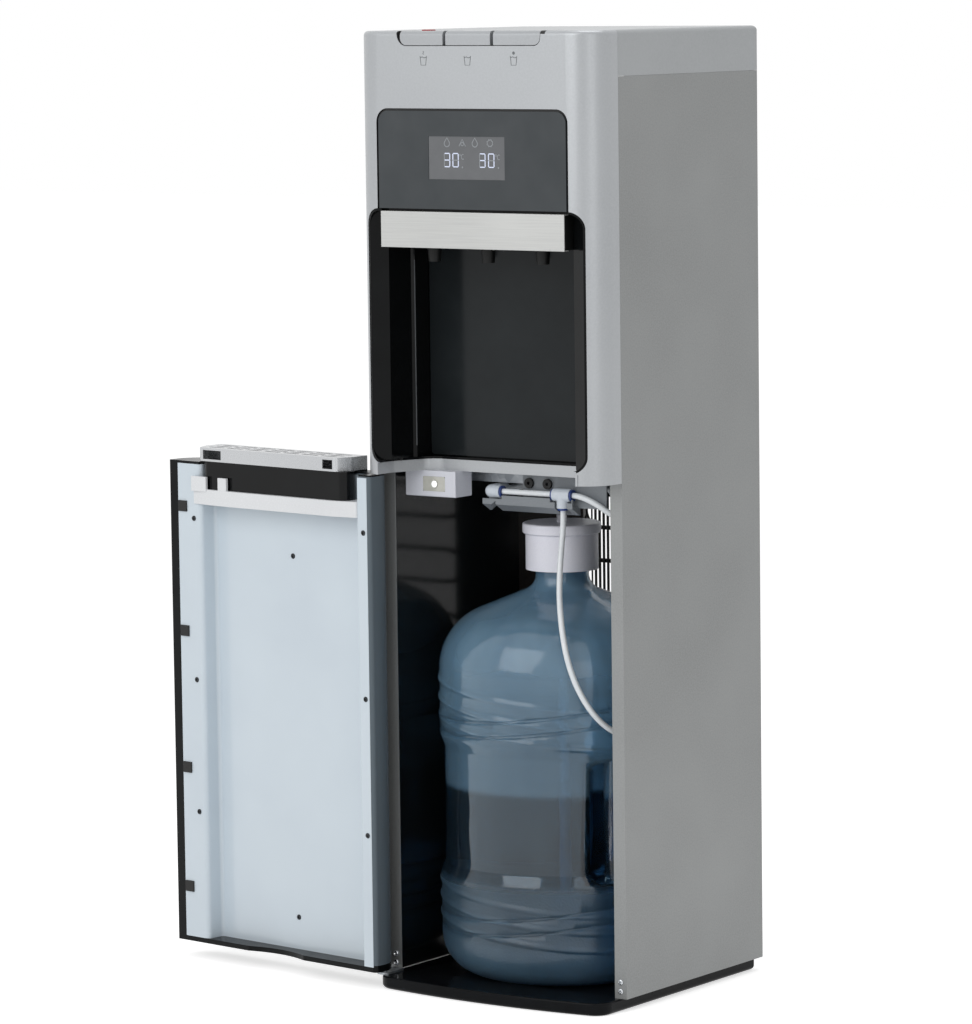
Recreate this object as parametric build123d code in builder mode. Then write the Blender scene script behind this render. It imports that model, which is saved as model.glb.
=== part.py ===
"""Bottom load water cooler with its door standing open, a bottle inside and its probe cap fitted.

Millimetres. X to the viewer's right, Y to the back, Z up. The origin is on the floor, under the
middle of the cabinet's width. The door is modelled shut and then swung open on its hinge axis.
"""

import os
from math import cos, degrees, hypot, radians, sin, tan

from build123d import *

os.makedirs("parts", exist_ok=True)

# ---------------------------------------------------------------- driving dimensions: cabinet
cabinet_width = 310.0
panel_front_y = -102.6
panel_rear_y = 167.0
panel_bottom_z = 14.0
total_height = 1035.3
cover_height = 48.3
panel_top_z = total_height - cover_height
sheet = 1.0
half = cabinet_width / 2
inner_x = half - sheet
flange_width = 15.0
contact_gap = 0.2
screw_r = 1.75
screw_head_r = 3.3
screw_head_height = 1.2
screw_length = 7.0
flange_screw_inset = 7.5
flange_screw_heights = (22.0, 32.0)

base_inset = 7.0
base_width = cabinet_width - 2 * base_inset
base_rear_y = 160.0
base_corner_y = -138.0
lip_front_y = -150.5
lip_corner_radius = 20.0
base_edge_radius = 5.0
lip_edge_radius = 2.0
floor_z = 11.0
floor_margin = 9.0
floor_front_y = -98.5

# ---------------------------------------------------------------- head and dispensing alcove
head_front_y = -149.4
head_bottom_z = 562.7
head_corner_radius = 34.0
head_wall = 3.0
head_top_radius = 5.0
bottom_plate = 2.5
plate_rear_y = -43.2
plate_margin = 17.0
plate_half_width = half - plate_margin
band_top_z = 575.0
band_wall = 2.5
cutout_margin = 27.0
cutout_half_width = half - cutout_margin
cutout_taper = 22.0
cutout_rear_half_width = cutout_half_width - cutout_taper
cutout_rear_y = -77.0
cutout_shoulder_y = -126.0
cutout_radius = 20.0
alcove_margin = 15.0
alcove_width = cabinet_width - 2 * alcove_margin
crown_height = 187.3
alcove_top_z = total_height - crown_height
alcove_radius = 18.0
alcove_rear_y = -66.0
alcove_wall = 2.5
alcove_inset = 0.8
bezel_width = 18.0
bezel_depth = 8.2
side_step = 3.0
side_step_y = -93.0
back_panel_thickness = 2.0
back_panel_margin = 1.0
back_panel_radius = 4.0

fascia_margin = 17.0
fascia_gap = 2.6
fascia_width = alcove_width - 2 * (fascia_margin + fascia_gap)
fascia_bottom_z = alcove_top_z + contact_gap
fascia_drop = 83.9
fascia_top_z = total_height - fascia_drop
fascia_radius = 12.0
fascia_thickness = 2.4
fascia_pocket = 2.2
window_x = -6.0
window_drop = 133.1
window_z = total_height - window_drop
window_width = 98.0
window_height = 45.5
window_thickness = 1.9
display_opening = 5.0
board_width = 120.0
board_height = 70.0
board_thickness = 1.6
module_depth = 7.0

bar_margin = 22.0
bar_width = alcove_width - 2 * bar_margin
bar_height = 38.2
bar_drop = 2.8
bar_top_z = alcove_top_z - bar_drop
bar_bottom_z = bar_top_z - bar_height
bar_front_y = -150.4
bar_sheet = 1.0
bar_depth = 8.0
carrier_depth = 50.0
carrier_wall = 2.5
nozzle_pitch = 70.0
nozzle_y = -120.0
nozzle_drop = 17.0
nozzle_radius = 8.0
nozzle_tip_radius = 6.6
nozzle_bore = 3.5

# ---------------------------------------------------------------- buttons
button_edges = ((-90.4, -35.1), (-31.3, 25.9), (30.0, 89.2))
button_height = 15.0
button_bottom_z = total_height - button_height
button_rear_y = -114.0
button_travel = 0.6
button_clearance = 0.5
button_end_gap = 4.2
button_corner = 8.0
button_front_radius = 5.0
stem_radius = 3.0
stem_clearance = 0.4
stem_length = 12.3
stem_end_z = button_bottom_z - stem_length
stem_y = -128.0
switch_gap = 0.3
switch_size = (20.0, 6.5, 10.0)
post_radius = 1.5
lock_x = -66.0
lock_y = -131.0
lock_width = 12.0
lock_length = 8.0
lock_height = 2.6
lock_travel = 5.0
lock_slot_depth = 1.4
lock_clearance = 0.3

# ---------------------------------------------------------------- top cover and rear panel
cover_wall = 2.5
cover_radius = 5.0
cover_lip = 7.0
cover_lip_wall = 1.2
deck_z = 575.0
deck_sheet = 1.2
deck_front_y = -43.0
deck_flange_z = 549.0
louvre_columns = 2
louvre_rows = 9
louvre_pitch_x = 90.0
louvre_pitch_z = 14.0
louvre_width = 66.0
louvre_height = 4.0
louvre_drop = 235.3
louvre_z = total_height - louvre_drop
rocker_drop = 105.3
rocker_z = total_height - rocker_drop
rocker_xs = (36.0, 66.0)
rocker_width = 14.0
rocker_height = 21.0
rocker_frame = 2.0
rocker_clearance = 0.3
rocker_radius = 13.0
rocker_tilt = 12.0
drain_x = 96.0
drain_z = 592.0
drain_radius = 7.0
drain_cap_radius = 11.0
drain_cap_length = 12.0
drain_spout_length = 8.0
drain_bore = 4.0
drain_cap_clearance = 0.3
gland_x = -110.0
gland_z = 600.0
gland_radius = 9.0
gland_bore = 4.0
gland_height = 6.0

# ---------------------------------------------------------------- compartment back and condenser
back_y = 149.0
back_edge_x = -66.0
back_fold = 5.0
bead_heights = (447.0, 486.0)
bead_height = 4.0
bead_depth = 0.8
coil_left_x = -70.0
coil_margin = 16.0
coil_right_x = inner_x - coil_margin
riser_margin = 8.0
coil_riser_x = inner_x - riser_margin
coil_y = 157.0
coil_tube = 4.8
coil_rows = 12
coil_pitch = 37.0
coil_top_z = 517.0
coil_end_z = 604.0
wire_size = 1.5
wire_pitch = 5.5
wire_left_x = -60.0
wire_margin = 22.0
wire_right_x = inner_x - wire_margin
wire_overhang = 9.0
wire_gap = 0.05
clip_height = 12.0
clip_rows = (1, 10)

# ---------------------------------------------------------------- machine space
machine_gap = 4.0
compressor_y = 98.0
compressor_radius = 54.0
compressor_height = 132.0
mount_height = 12.0
mount_radius = 10.0
mount_pitch_x = 104.0
mount_pitch_y = 84.0
compressor_foot = 3.0
cold_y = 62.0
cold_height = 170.0
jacket_wall = 22.0
side_room = 24.0
mount_span = mount_pitch_x + 2 * mount_radius
# The insulated cold tank takes the width that the compressor and its side room leave.
jacket_radius = (2 * inner_x - 2 * machine_gap - side_room - mount_span) / 2
cold_radius = jacket_radius - jacket_wall
cold_x = jacket_radius + machine_gap - inner_x
compressor_x = cold_x + jacket_radius + machine_gap + mount_span / 2
tank_wall = 1.5
hot_radius = 50.0
hot_margin = 16.0
hot_x = inner_x - hot_radius - hot_margin
hot_y = 84.0
hot_rise = 26.0
hot_z = deck_z + mount_height + compressor_height + hot_rise
hot_height = 150.0
hot_edge_radius = 15.0
hot_port_radius = 5.0
hot_foot_width = 44.0
hot_foot_height = 40.0
pump_margin = 32.0
pump_x = inner_x - pump_margin
pump_y = -2.0
pump_radius = 24.0
pump_length = 70.0
pump_foot = 4.0
pump_nipple_r = 4.0
valve_pitch = 52.0
valve_y = -96.0
line_radius = 3.2
suction_drop = 29.0
suction_z = deck_z + jacket_wall + cold_height - suction_drop
suction_run = 22.0
suction_inset = 14.0
pipe_hole = 4.5

# ---------------------------------------------------------------- pump bracket and fittings
bracket_overhang = 9.0
elbow_run = 13.0
bracket_right_x = 100.0
bracket_plate_x = -8.0
bracket_y = -50.0
bracket_sheet = 2.0
bracket_low_z = 527.0
bracket_shelf_depth = 12.0
bracket_lip_z = 537.0
bracket_bottom_z = 519.0
bracket_top_z = 561.0
bracket_shelf_right_x = 64.0
bracket_notch = 8.0
bracket_notch_z = 533.0
grommet_xs = (1.0, 25.0)
grommet_z = 551.0
grommet_r = 5.5
grommet_bore = 1.9
grommet_thickness = 3.0
grommet_neck_r = 3.6
tube_r = 3.175
tube_fit = 0.1
pipe_y = -57.3
pipe_z = 541.0
elbow_share = (0.5556, 0.7407)
elbow_x = cold_x + elbow_share[0] * cold_radius
elbow_end_x = elbow_x + elbow_run
bracket_left_x = elbow_x - bracket_overhang
tee_x = 49.0
tee_arm = 11.0
tee_drop = 14.0
fitting_r = 7.0
socket_depth = 8.0
collar_r = 6.2
collar_length = 2.2
elbow_leg = 25.0
riser_rear_y = cold_y - elbow_share[1] * cold_radius
feed_margin = 24.0
feed_top = (inner_x - feed_margin, 12.0)
riser_end_z = 568.0
# Each bend of the feed tube: how far inside the right panel, behind the pipe, and below it.
feed_bends = (
    (84.0, 0.0, 0.0),
    (64.0, 1.0, 7.0),
    (45.0, 4.0, 19.0),
    (27.0, 17.0, 28.0),
    (15.0, 38.0, 27.0),
    (16.0, 58.0, 16.0),
)

# ---------------------------------------------------------------- lamp
lamp_inset = 2.0
lamp_left_x = lamp_inset - plate_half_width
lamp_width = 66.0
lamp_front_y = -88.0
lamp_depth = 30.0
lamp_bottom_z = 534.5
lens_offset = 37.5
lens_x = lamp_left_x + lens_offset
lens_z = 548.5
lens_width = 29.0
lens_height = 16.0
lens_thickness = 2.0
lens_dome_r = 5.0

# ---------------------------------------------------------------- bottle and probe
bottle_radius = 135.0
bottle_y = 11.0
bottle_wall = 3.0
heel_radius = 45.0
waist_radius = 130.0
lower_belly_z = 124.0
waist_low_z = 136.0
waist_high_z = 262.0
upper_belly_z = 274.0
shoulder_z = 391.5
shoulder_radius = 69.0
neck_base_z = 434.7
neck_radius = 29.0
neck_fillet = 18.0
waist_fillet = 9.0
mouth_z = 480.0
groove_radius = 2.0
groove_depth = 1.5
groove_tilt = 5.0
groove_heights = (82.0, 98.0, 296.0, 312.0)
grip_direction = -30.0
grip_width = 62.0
grip_low_z = 128.0
grip_high_z = 258.0
grip_depth = 44.0
grip_radius = 14.0
grip_bar_radius = 11.0
grip_bar_inset = 13.0

cap_radius = 39.6
cap_bottom_z = 452.4
cap_rim_z = 491.6
cap_rim_radius = 42.8
cap_top_z = 503.0
cap_bore_clearance = 0.5
cap_ceiling_gap = 0.2
nipple_radius = 5.5
nipple_height = 8.0
probe_tube_r = 4.5
probe_bore_r = 3.0
probe_foot_gap = 4.0
strainer_r = 9.0
strainer_height = 32.0

# ---------------------------------------------------------------- door (modelled shut)
door_inset = 1.0
door_half_width = half - door_inset
door_bottom_z = 18.5
door_top_z = 560.7
door_rear_y = -105.0
door_wall = 3.0
door_bottom_wall = 5.5
door_edge_radius = 5.0
heel_relief = 2.0
hinge_inset = 8.2
hinge_x = hinge_inset - door_half_width
hinge_y = -126.6
door_open_angle = 187.3
hinge_pin_r = 3.0
hinge_fit = 0.05
hinge_pin_depth = 14.0
free_stile = 12.0
free_stile_x = door_half_width - free_stile
steel_inset = 35.0
steel_width = 2 * (door_half_width - steel_inset)
steel_margin = 8.0
steel_thickness = 1.2
steel_pocket = 1.0

liner_thickness = 1.5
liner_recess = 22.5
liner_left_inset = 4.0
liner_right_inset = 12.4
recess_left_inset = 19.0
recess_right_inset = 48.0
liner_left_x = liner_left_inset - door_half_width
liner_right_x = door_half_width - liner_right_inset
recess_left_x = recess_left_inset - door_half_width
recess_right_x = door_half_width - recess_right_inset
hinge_side_bend = 1.2
liner_bend = 5.0

shelf_top_z = 531.0
shelf_height = 17.0
shelf_wall = 2.5
shelf_front_y = -99.0
shelf_bevels = (33.0, 28.0)
shelf_flat = (recess_left_x + shelf_bevels[0], recess_right_x - shelf_bevels[1])
shelf_wing = 9.0
shelf_wing_x = recess_right_x + shelf_wing
shelf_wing_edge = 1.4
peg_height = 14.0
peg_thickness = 3.0
peg_inset = 0.6
peg_insets = ((14.0, -9.0), (46.0, 33.0))
peg_spans = [(recess_right_x - a, recess_right_x - b) for a, b in peg_insets]

tray_wall = 2.0
tray_left_inset = 17.0
tray_right_inset = 3.0
tray_left_x = recess_left_x + tray_left_inset
tray_right_x = recess_right_x - tray_right_inset
tray_front_y = -126.5
tray_rear_y = -104.5
tray_corner = 9.0
rim_thickness = 1.5
grate_inset = 42.0
grate_half_width = half - grate_inset
grate_rear_taper = 8.0
grate_rear_half_width = grate_half_width - grate_rear_taper
grate_front_y = -145.5
grate_rear_y = -103.2
grate_taper_y = -122.0
grate_height = 15.0
grate_wall = 1.6
grate_bend = 5.0
grate_slot_length = 24.0
grate_slot_width = 4.0
grate_slots_x = 7
grate_slots_y = 3
grate_pitch_x = 29.0
grate_pitch_y = 11.0
grate_window_insets = ((42.0, 14.0), (12.0, 27.0))
grate_windows = (
    (grate_half_width - grate_window_insets[0][0], grate_half_width - grate_window_insets[0][1]),
    (grate_window_insets[1][0] - grate_half_width, grate_window_insets[1][1] - grate_half_width),
)
grate_window_height = 10.0

clip_inset = 20.0
clip_x = door_half_width - clip_inset
clip_size = (13.0, 12.0, 1.6)
door_clip_heights = (81.0, 216.0, 370.0, 510.0)
door_screw_r = 1.3
door_screw_head_r = 3.0
door_screw_head = 1.4
door_boss_r = 5.0
flange_screw_x = door_half_width - 37.0
stile_screw_x = 9.5 - door_half_width
flange_screws = ((flange_screw_x, 167.0), (flange_screw_x, 316.0), (flange_screw_x, 497.0))
stile_screws = ((stile_screw_x, 168.6), (stile_screw_x, 317.6), (stile_screw_x, 498.3))
recess_screws = ((-15.0, 60.0), (-15.0, 462.0))

hinge_plate = 2.2
hinge_plate_width = 16.0
hinge_pin_head_r = 3.6
thrust_gap = 0.3

# ---------------------------------------------------------------- the white probe hose
# Chosen along the curve that shows in front of the bottle, then round behind the right flange.
hose_r = 3.175
hose_points = [
    (49.0, -57.3, 524.7),
    (49.0, -57.3, 507.0),
    (51.0, -64.5, 485.0),
    (55.5, -74.5, 460.5),
    (61.0, -84.0, 437.0),
    (68.0, -92.0, 414.0),
    (75.5, -98.5, 393.0),
    (82.0, -101.5, 373.0),
    (89.0, -101.5, 354.0),
    (96.5, -98.5, 335.5),
    (105.0, -93.0, 318.5),
    (113.5, -85.0, 304.5),
    (123.5, -75.0, 293.5),
    (135.0, -60.0, 288.0),
    (144.0, -42.0, 292.0),
    (147.0, -22.0, 307.0),
    (147.5, -3.0, 330.0),
    (147.0, 14.0, 356.0),
    (143.0, 29.0, 383.0),
    (134.0, 40.0, 409.0),
    (120.0, 47.0, 434.0),
    (103.0, 50.0, 458.0),
    (84.0, 50.0, 482.0),
    (66.0, 48.0, 505.0),
    (51.0, 44.5, 526.0),
    (38.0, 39.0, 543.5),
    (26.0, 30.5, 551.5),
    (14.4, 21.8, 550.5),
    (5.2, 14.9, 541.0),
    (0.0, 11.0, 527.0),
    (0.0, 11.0, 511.0),
]

# ---------------------------------------------------------------- worked-out dimensions
panel_height = panel_top_z - panel_bottom_z
deck_top_z = deck_z + deck_sheet
rear_inner_y = panel_rear_y - sheet
rear_panel_y = rear_inner_y - sheet
head_inner_y = head_front_y + head_wall
door_height = door_top_z - door_bottom_z
recess_floor_y = door_rear_y - liner_recess
liner_back_y = recess_floor_y - liner_thickness
door_skin_y = head_front_y + door_wall
pocket_floor_z = button_bottom_z - button_travel - contact_gap
hinge_stile_x = recess_left_x - liner_thickness - contact_gap
hinge_axis = Axis((hinge_x, hinge_y, 0), (0, 0, 1))
grate_bottom_z = door_top_z + rim_thickness


# ---------------------------------------------------------------- planes and shared outlines
def level(z):
    """A horizontal plane at height z, seen from above."""
    return Plane.XY.offset(z)


def facing_front(y):
    """A vertical plane at depth y: local x is X, local y is Z, extrusion goes to the front."""
    return Plane(origin=(0, y, 0), x_dir=(1, 0, 0), z_dir=(0, -1, 0))


def facing_side(x):
    """A vertical plane at width x: local x is Y, local y is Z, extrusion goes to +X."""
    return Plane(origin=(x, 0, 0), x_dir=(0, 1, 0), z_dir=(1, 0, 0))


def swing_open(shut):
    """The shut door's piece, turned about the hinge axis to where the open door stands."""
    return shut.rotate(hinge_axis, -door_open_angle)


def bend_radii(points, share=0.45):
    """Each corner's arc: a share of its shorter run over the tangent of half its turn."""
    radii = []
    for before, corner, after in zip(points, points[1:], points[2:]):
        arriving = Vector(corner) - Vector(before)
        leaving = Vector(after) - Vector(corner)
        half_turn = radians(arriving.get_angle(leaving)) / 2
        radii.append(share * min(arriving.length, leaving.length) / tan(half_turn))
    return radii


def bowed_plan(half_width, front_y, rear_y, corner, inset=0.0):
    """Draw the plan that the head and the door share: flat front, rounded front corners."""
    across = half_width - inset
    near = front_y + inset
    with BuildSketch() as outline:
        with BuildLine():
            FilletPolyline(
                (-across, rear_y),
                (-across, near),
                (across, near),
                (across, rear_y),
                radius=max(corner - inset, 1.0),
            )
            Line((across, rear_y), (-across, rear_y))
        make_face()
    return outline.sketch


def cutout_plan(grow=0.0):
    """Draw the tapering notch in the head's underside that the drip tray fills."""
    side = cutout_half_width + grow
    rear = cutout_rear_half_width + grow
    far_y = cutout_rear_y + grow
    near_y = head_front_y - 2 * head_wall
    with BuildSketch() as outline:
        with BuildLine():
            FilletPolyline(
                (-side, near_y),
                (-side, cutout_shoulder_y),
                (-rear, far_y),
                (rear, far_y),
                (side, cutout_shoulder_y),
                (side, near_y),
                radius=cutout_radius,
            )
            Line((side, near_y), (-side, near_y))
        make_face()
    return outline.sketch


def grate_plan(inset=0.0):
    """Draw the plan of the drip tray's rim and grate, seen with the door shut."""
    wide = grate_half_width - inset
    narrow = grate_rear_half_width - inset
    with BuildSketch() as outline:
        with BuildLine():
            FilletPolyline(
                (-wide, grate_front_y + inset),
                (-wide, grate_taper_y),
                (-narrow, grate_rear_y - inset),
                (narrow, grate_rear_y - inset),
                (wide, grate_taper_y),
                (wide, grate_front_y + inset),
                radius=grate_bend,
            )
            Line((wide, grate_front_y + inset), (-wide, grate_front_y + inset))
        make_face()
    return outline.sketch


# ---------------------------------------------------------------- base and side panels
with BuildPart() as base_tray:
    with BuildSketch(level(0)):
        with BuildLine():
            Line((-base_width / 2, base_corner_y), (-base_width / 2, base_rear_y))
            Line((-base_width / 2, base_rear_y), (base_width / 2, base_rear_y))
            Line((base_width / 2, base_rear_y), (base_width / 2, base_corner_y))
            ThreePointArc((base_width / 2, base_corner_y), (0, lip_front_y), (-base_width / 2, base_corner_y))
        make_face()
    extrude(amount=panel_bottom_z)
    fillet(base_tray.edges().filter_by(Axis.Z).group_by(Axis.Y)[0], lip_corner_radius)
    fillet(base_tray.faces().sort_by(Axis.Z)[0].edges(), base_edge_radius)
    lip_edges = base_tray.faces().sort_by(Axis.Z)[-1].edges().group_by(Axis.Y)
    fillet(lip_edges[0], lip_edge_radius)
    with BuildSketch(level(floor_z)):
        with Locations((0, floor_front_y)):
            Rectangle(
                base_width - 2 * floor_margin,
                base_rear_y - floor_margin - floor_front_y,
                align=(Align.CENTER, Align.MIN),
            )
    extrude(amount=panel_bottom_z - floor_z, mode=Mode.SUBTRACT)

with BuildPart() as side_panel_right:
    panel_depth = panel_rear_y - panel_front_y
    with BuildSketch(level(panel_bottom_z)):
        with Locations((half, panel_front_y)):
            Rectangle(flange_width, panel_depth, align=(Align.MAX, Align.MIN))
        with Locations((inner_x, panel_front_y + sheet)):
            Rectangle(flange_width, panel_depth - 2 * sheet, align=(Align.MAX, Align.MIN), mode=Mode.SUBTRACT)
    extrude(amount=panel_height)
    for screw_z in flange_screw_heights:
        with Locations(Location((half - flange_screw_inset, panel_front_y, screw_z), (90, 0, 0))):
            Hole(screw_r + contact_gap, depth=2 * sheet)

with BuildPart() as side_panel_left:
    mirror(side_panel_right.part, about=Plane.YZ)

with BuildPart() as cabinet_screws:
    for side in (-1, 1):
        for screw_z in flange_screw_heights:
            with BuildSketch(facing_front(panel_front_y)):
                with Locations((side * (half - flange_screw_inset), screw_z)):
                    Circle(screw_head_r)
            extrude(amount=screw_head_height)
            with BuildSketch(facing_front(panel_front_y)):
                with Locations((side * (half - flange_screw_inset), screw_z)):
                    Circle(screw_r)
            extrude(amount=-screw_length)

# ---------------------------------------------------------------- compartment back and condenser
with BuildPart() as compartment_back:
    back_width = back_edge_x + inner_x
    with BuildSketch(level(panel_bottom_z)):
        with Locations((-inner_x, back_y)):
            Rectangle(back_width, sheet, align=(Align.MIN, Align.MIN))
        with Locations((back_edge_x, back_y)):
            Rectangle(sheet, back_fold, align=(Align.MAX, Align.MIN))
    extrude(amount=deck_z - panel_bottom_z)
    for bead_z in bead_heights:
        with BuildSketch(facing_front(back_y)):
            with Locations((back_edge_x - back_width / 2, bead_z)):
                Rectangle(back_width - 2 * flange_width, bead_height)
        extrude(amount=bead_depth)

coil_bend = coil_pitch / 2
coil_turn_left = coil_left_x + coil_tube / 2 + coil_bend
coil_turn_right = coil_right_x - coil_tube / 2 - coil_bend
coil_bottom_z = coil_top_z - (coil_rows - 1) * coil_pitch

with BuildPart() as condenser_coil:
    with BuildLine() as coil_path:
        corner_z = coil_top_z + coil_bend
        inlet_x = coil_turn_right + coil_bend
        Line((inlet_x, coil_y, coil_end_z), (inlet_x, coil_y, corner_z))
        start = Vector(coil_turn_right, coil_y, coil_top_z)
        middle = Vector(
            coil_turn_right + coil_bend * cos(radians(45)),
            coil_y,
            corner_z - coil_bend * sin(radians(45)),
        )
        ThreePointArc((inlet_x, coil_y, corner_z), middle, start)
        for row in range(coil_rows):
            row_z = coil_top_z - row * coil_pitch
            leftward = row % 2 == 0
            near_x, far_x = (coil_turn_right, coil_turn_left) if leftward else (coil_turn_left, coil_turn_right)
            if row < coil_rows - 1:
                bulge = -coil_bend if leftward else coil_bend
                Line((near_x, coil_y, row_z), (far_x, coil_y, row_z))
                ThreePointArc(
                    (far_x, coil_y, row_z),
                    (far_x + bulge, coil_y, row_z - coil_bend),
                    (far_x, coil_y, row_z - coil_pitch),
                )
            else:
                FilletPolyline(
                    (near_x, coil_y, row_z),
                    (coil_riser_x, coil_y, row_z),
                    (coil_riser_x, coil_y, coil_end_z),
                    radius=coil_bend,
                )
    with BuildSketch(Plane(origin=(inlet_x, coil_y, coil_end_z), z_dir=(0, 0, -1))):
        Circle(coil_tube / 2)
    sweep(path=coil_path.wire())

with BuildPart() as condenser_wires:
    wire_count = int((wire_right_x - wire_left_x) / wire_pitch) + 1
    wire_length = (coil_rows - 1) * coil_pitch + 2 * wire_overhang
    wire_offset = coil_tube / 2 + wire_gap + wire_size / 2
    with BuildSketch(level(coil_bottom_z - wire_overhang)):
        for wire_y in (coil_y - wire_offset, coil_y + wire_offset):
            with Locations(((wire_left_x + wire_right_x) / 2, wire_y)):
                with GridLocations(wire_pitch, 1, wire_count, 1):
                    Rectangle(wire_size, wire_size)
    extrude(amount=wire_length)

with BuildPart() as condenser_clips:
    left_clip_width = wire_left_x - wire_size - 1 - coil_left_x
    right_clip_depth = rear_inner_y - coil_y - coil_tube / 2 - wire_gap
    for row in clip_rows:
        row_z = coil_top_z - (row - 0.5) * coil_pitch
        with BuildSketch(level(row_z - clip_height / 2)):
            with Locations((back_edge_x - sheet, back_y + sheet)):
                Rectangle(left_clip_width, coil_y - coil_tube / 2 - wire_gap - back_y - sheet, align=(Align.MAX, Align.MIN))
            with Locations((coil_riser_x + 4, rear_inner_y)):
                Rectangle(coil_riser_x + 4 - coil_turn_right - coil_bend + 4, right_clip_depth, align=(Align.MAX, Align.MAX))
        extrude(amount=clip_height)

# ---------------------------------------------------------------- deck between bottle and machine
with BuildPart() as deck_plate:
    with BuildSketch(level(deck_z)):
        with Locations((0, deck_front_y)):
            Rectangle(2 * inner_x, rear_panel_y - deck_front_y, align=(Align.CENTER, Align.MIN))
        with Locations((inlet_x, coil_y), (coil_riser_x, coil_y), (elbow_x, riser_rear_y), feed_top):
            Circle(pipe_hole, mode=Mode.SUBTRACT)
    extrude(amount=deck_sheet)
    with BuildSketch(level(deck_flange_z)):
        with Locations((0, deck_front_y)):
            Rectangle(2 * plate_half_width, deck_sheet, align=(Align.CENTER, Align.MIN))
    extrude(amount=deck_z - deck_flange_z)

# ---------------------------------------------------------------- head shell
def fascia_outline(grow, foot_z):
    """Draw the display fascia's outline, larger by grow: round upper corners, square foot."""
    width = fascia_width + 2 * grow
    top_z = fascia_top_z + grow
    with BuildSketch() as outline:
        with Locations((0, (top_z + foot_z) / 2)):
            RectangleRounded(width, top_z - foot_z, fascia_radius + grow)
        with Locations((0, foot_z)):
            Rectangle(width, (top_z - foot_z) / 2, align=(Align.CENTER, Align.MIN))
    return outline.sketch


button_left_x = button_edges[0][0] - button_end_gap
button_right_x = button_edges[-1][1] + button_clearance
pocket_rear_y = button_rear_y + button_clearance

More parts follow.
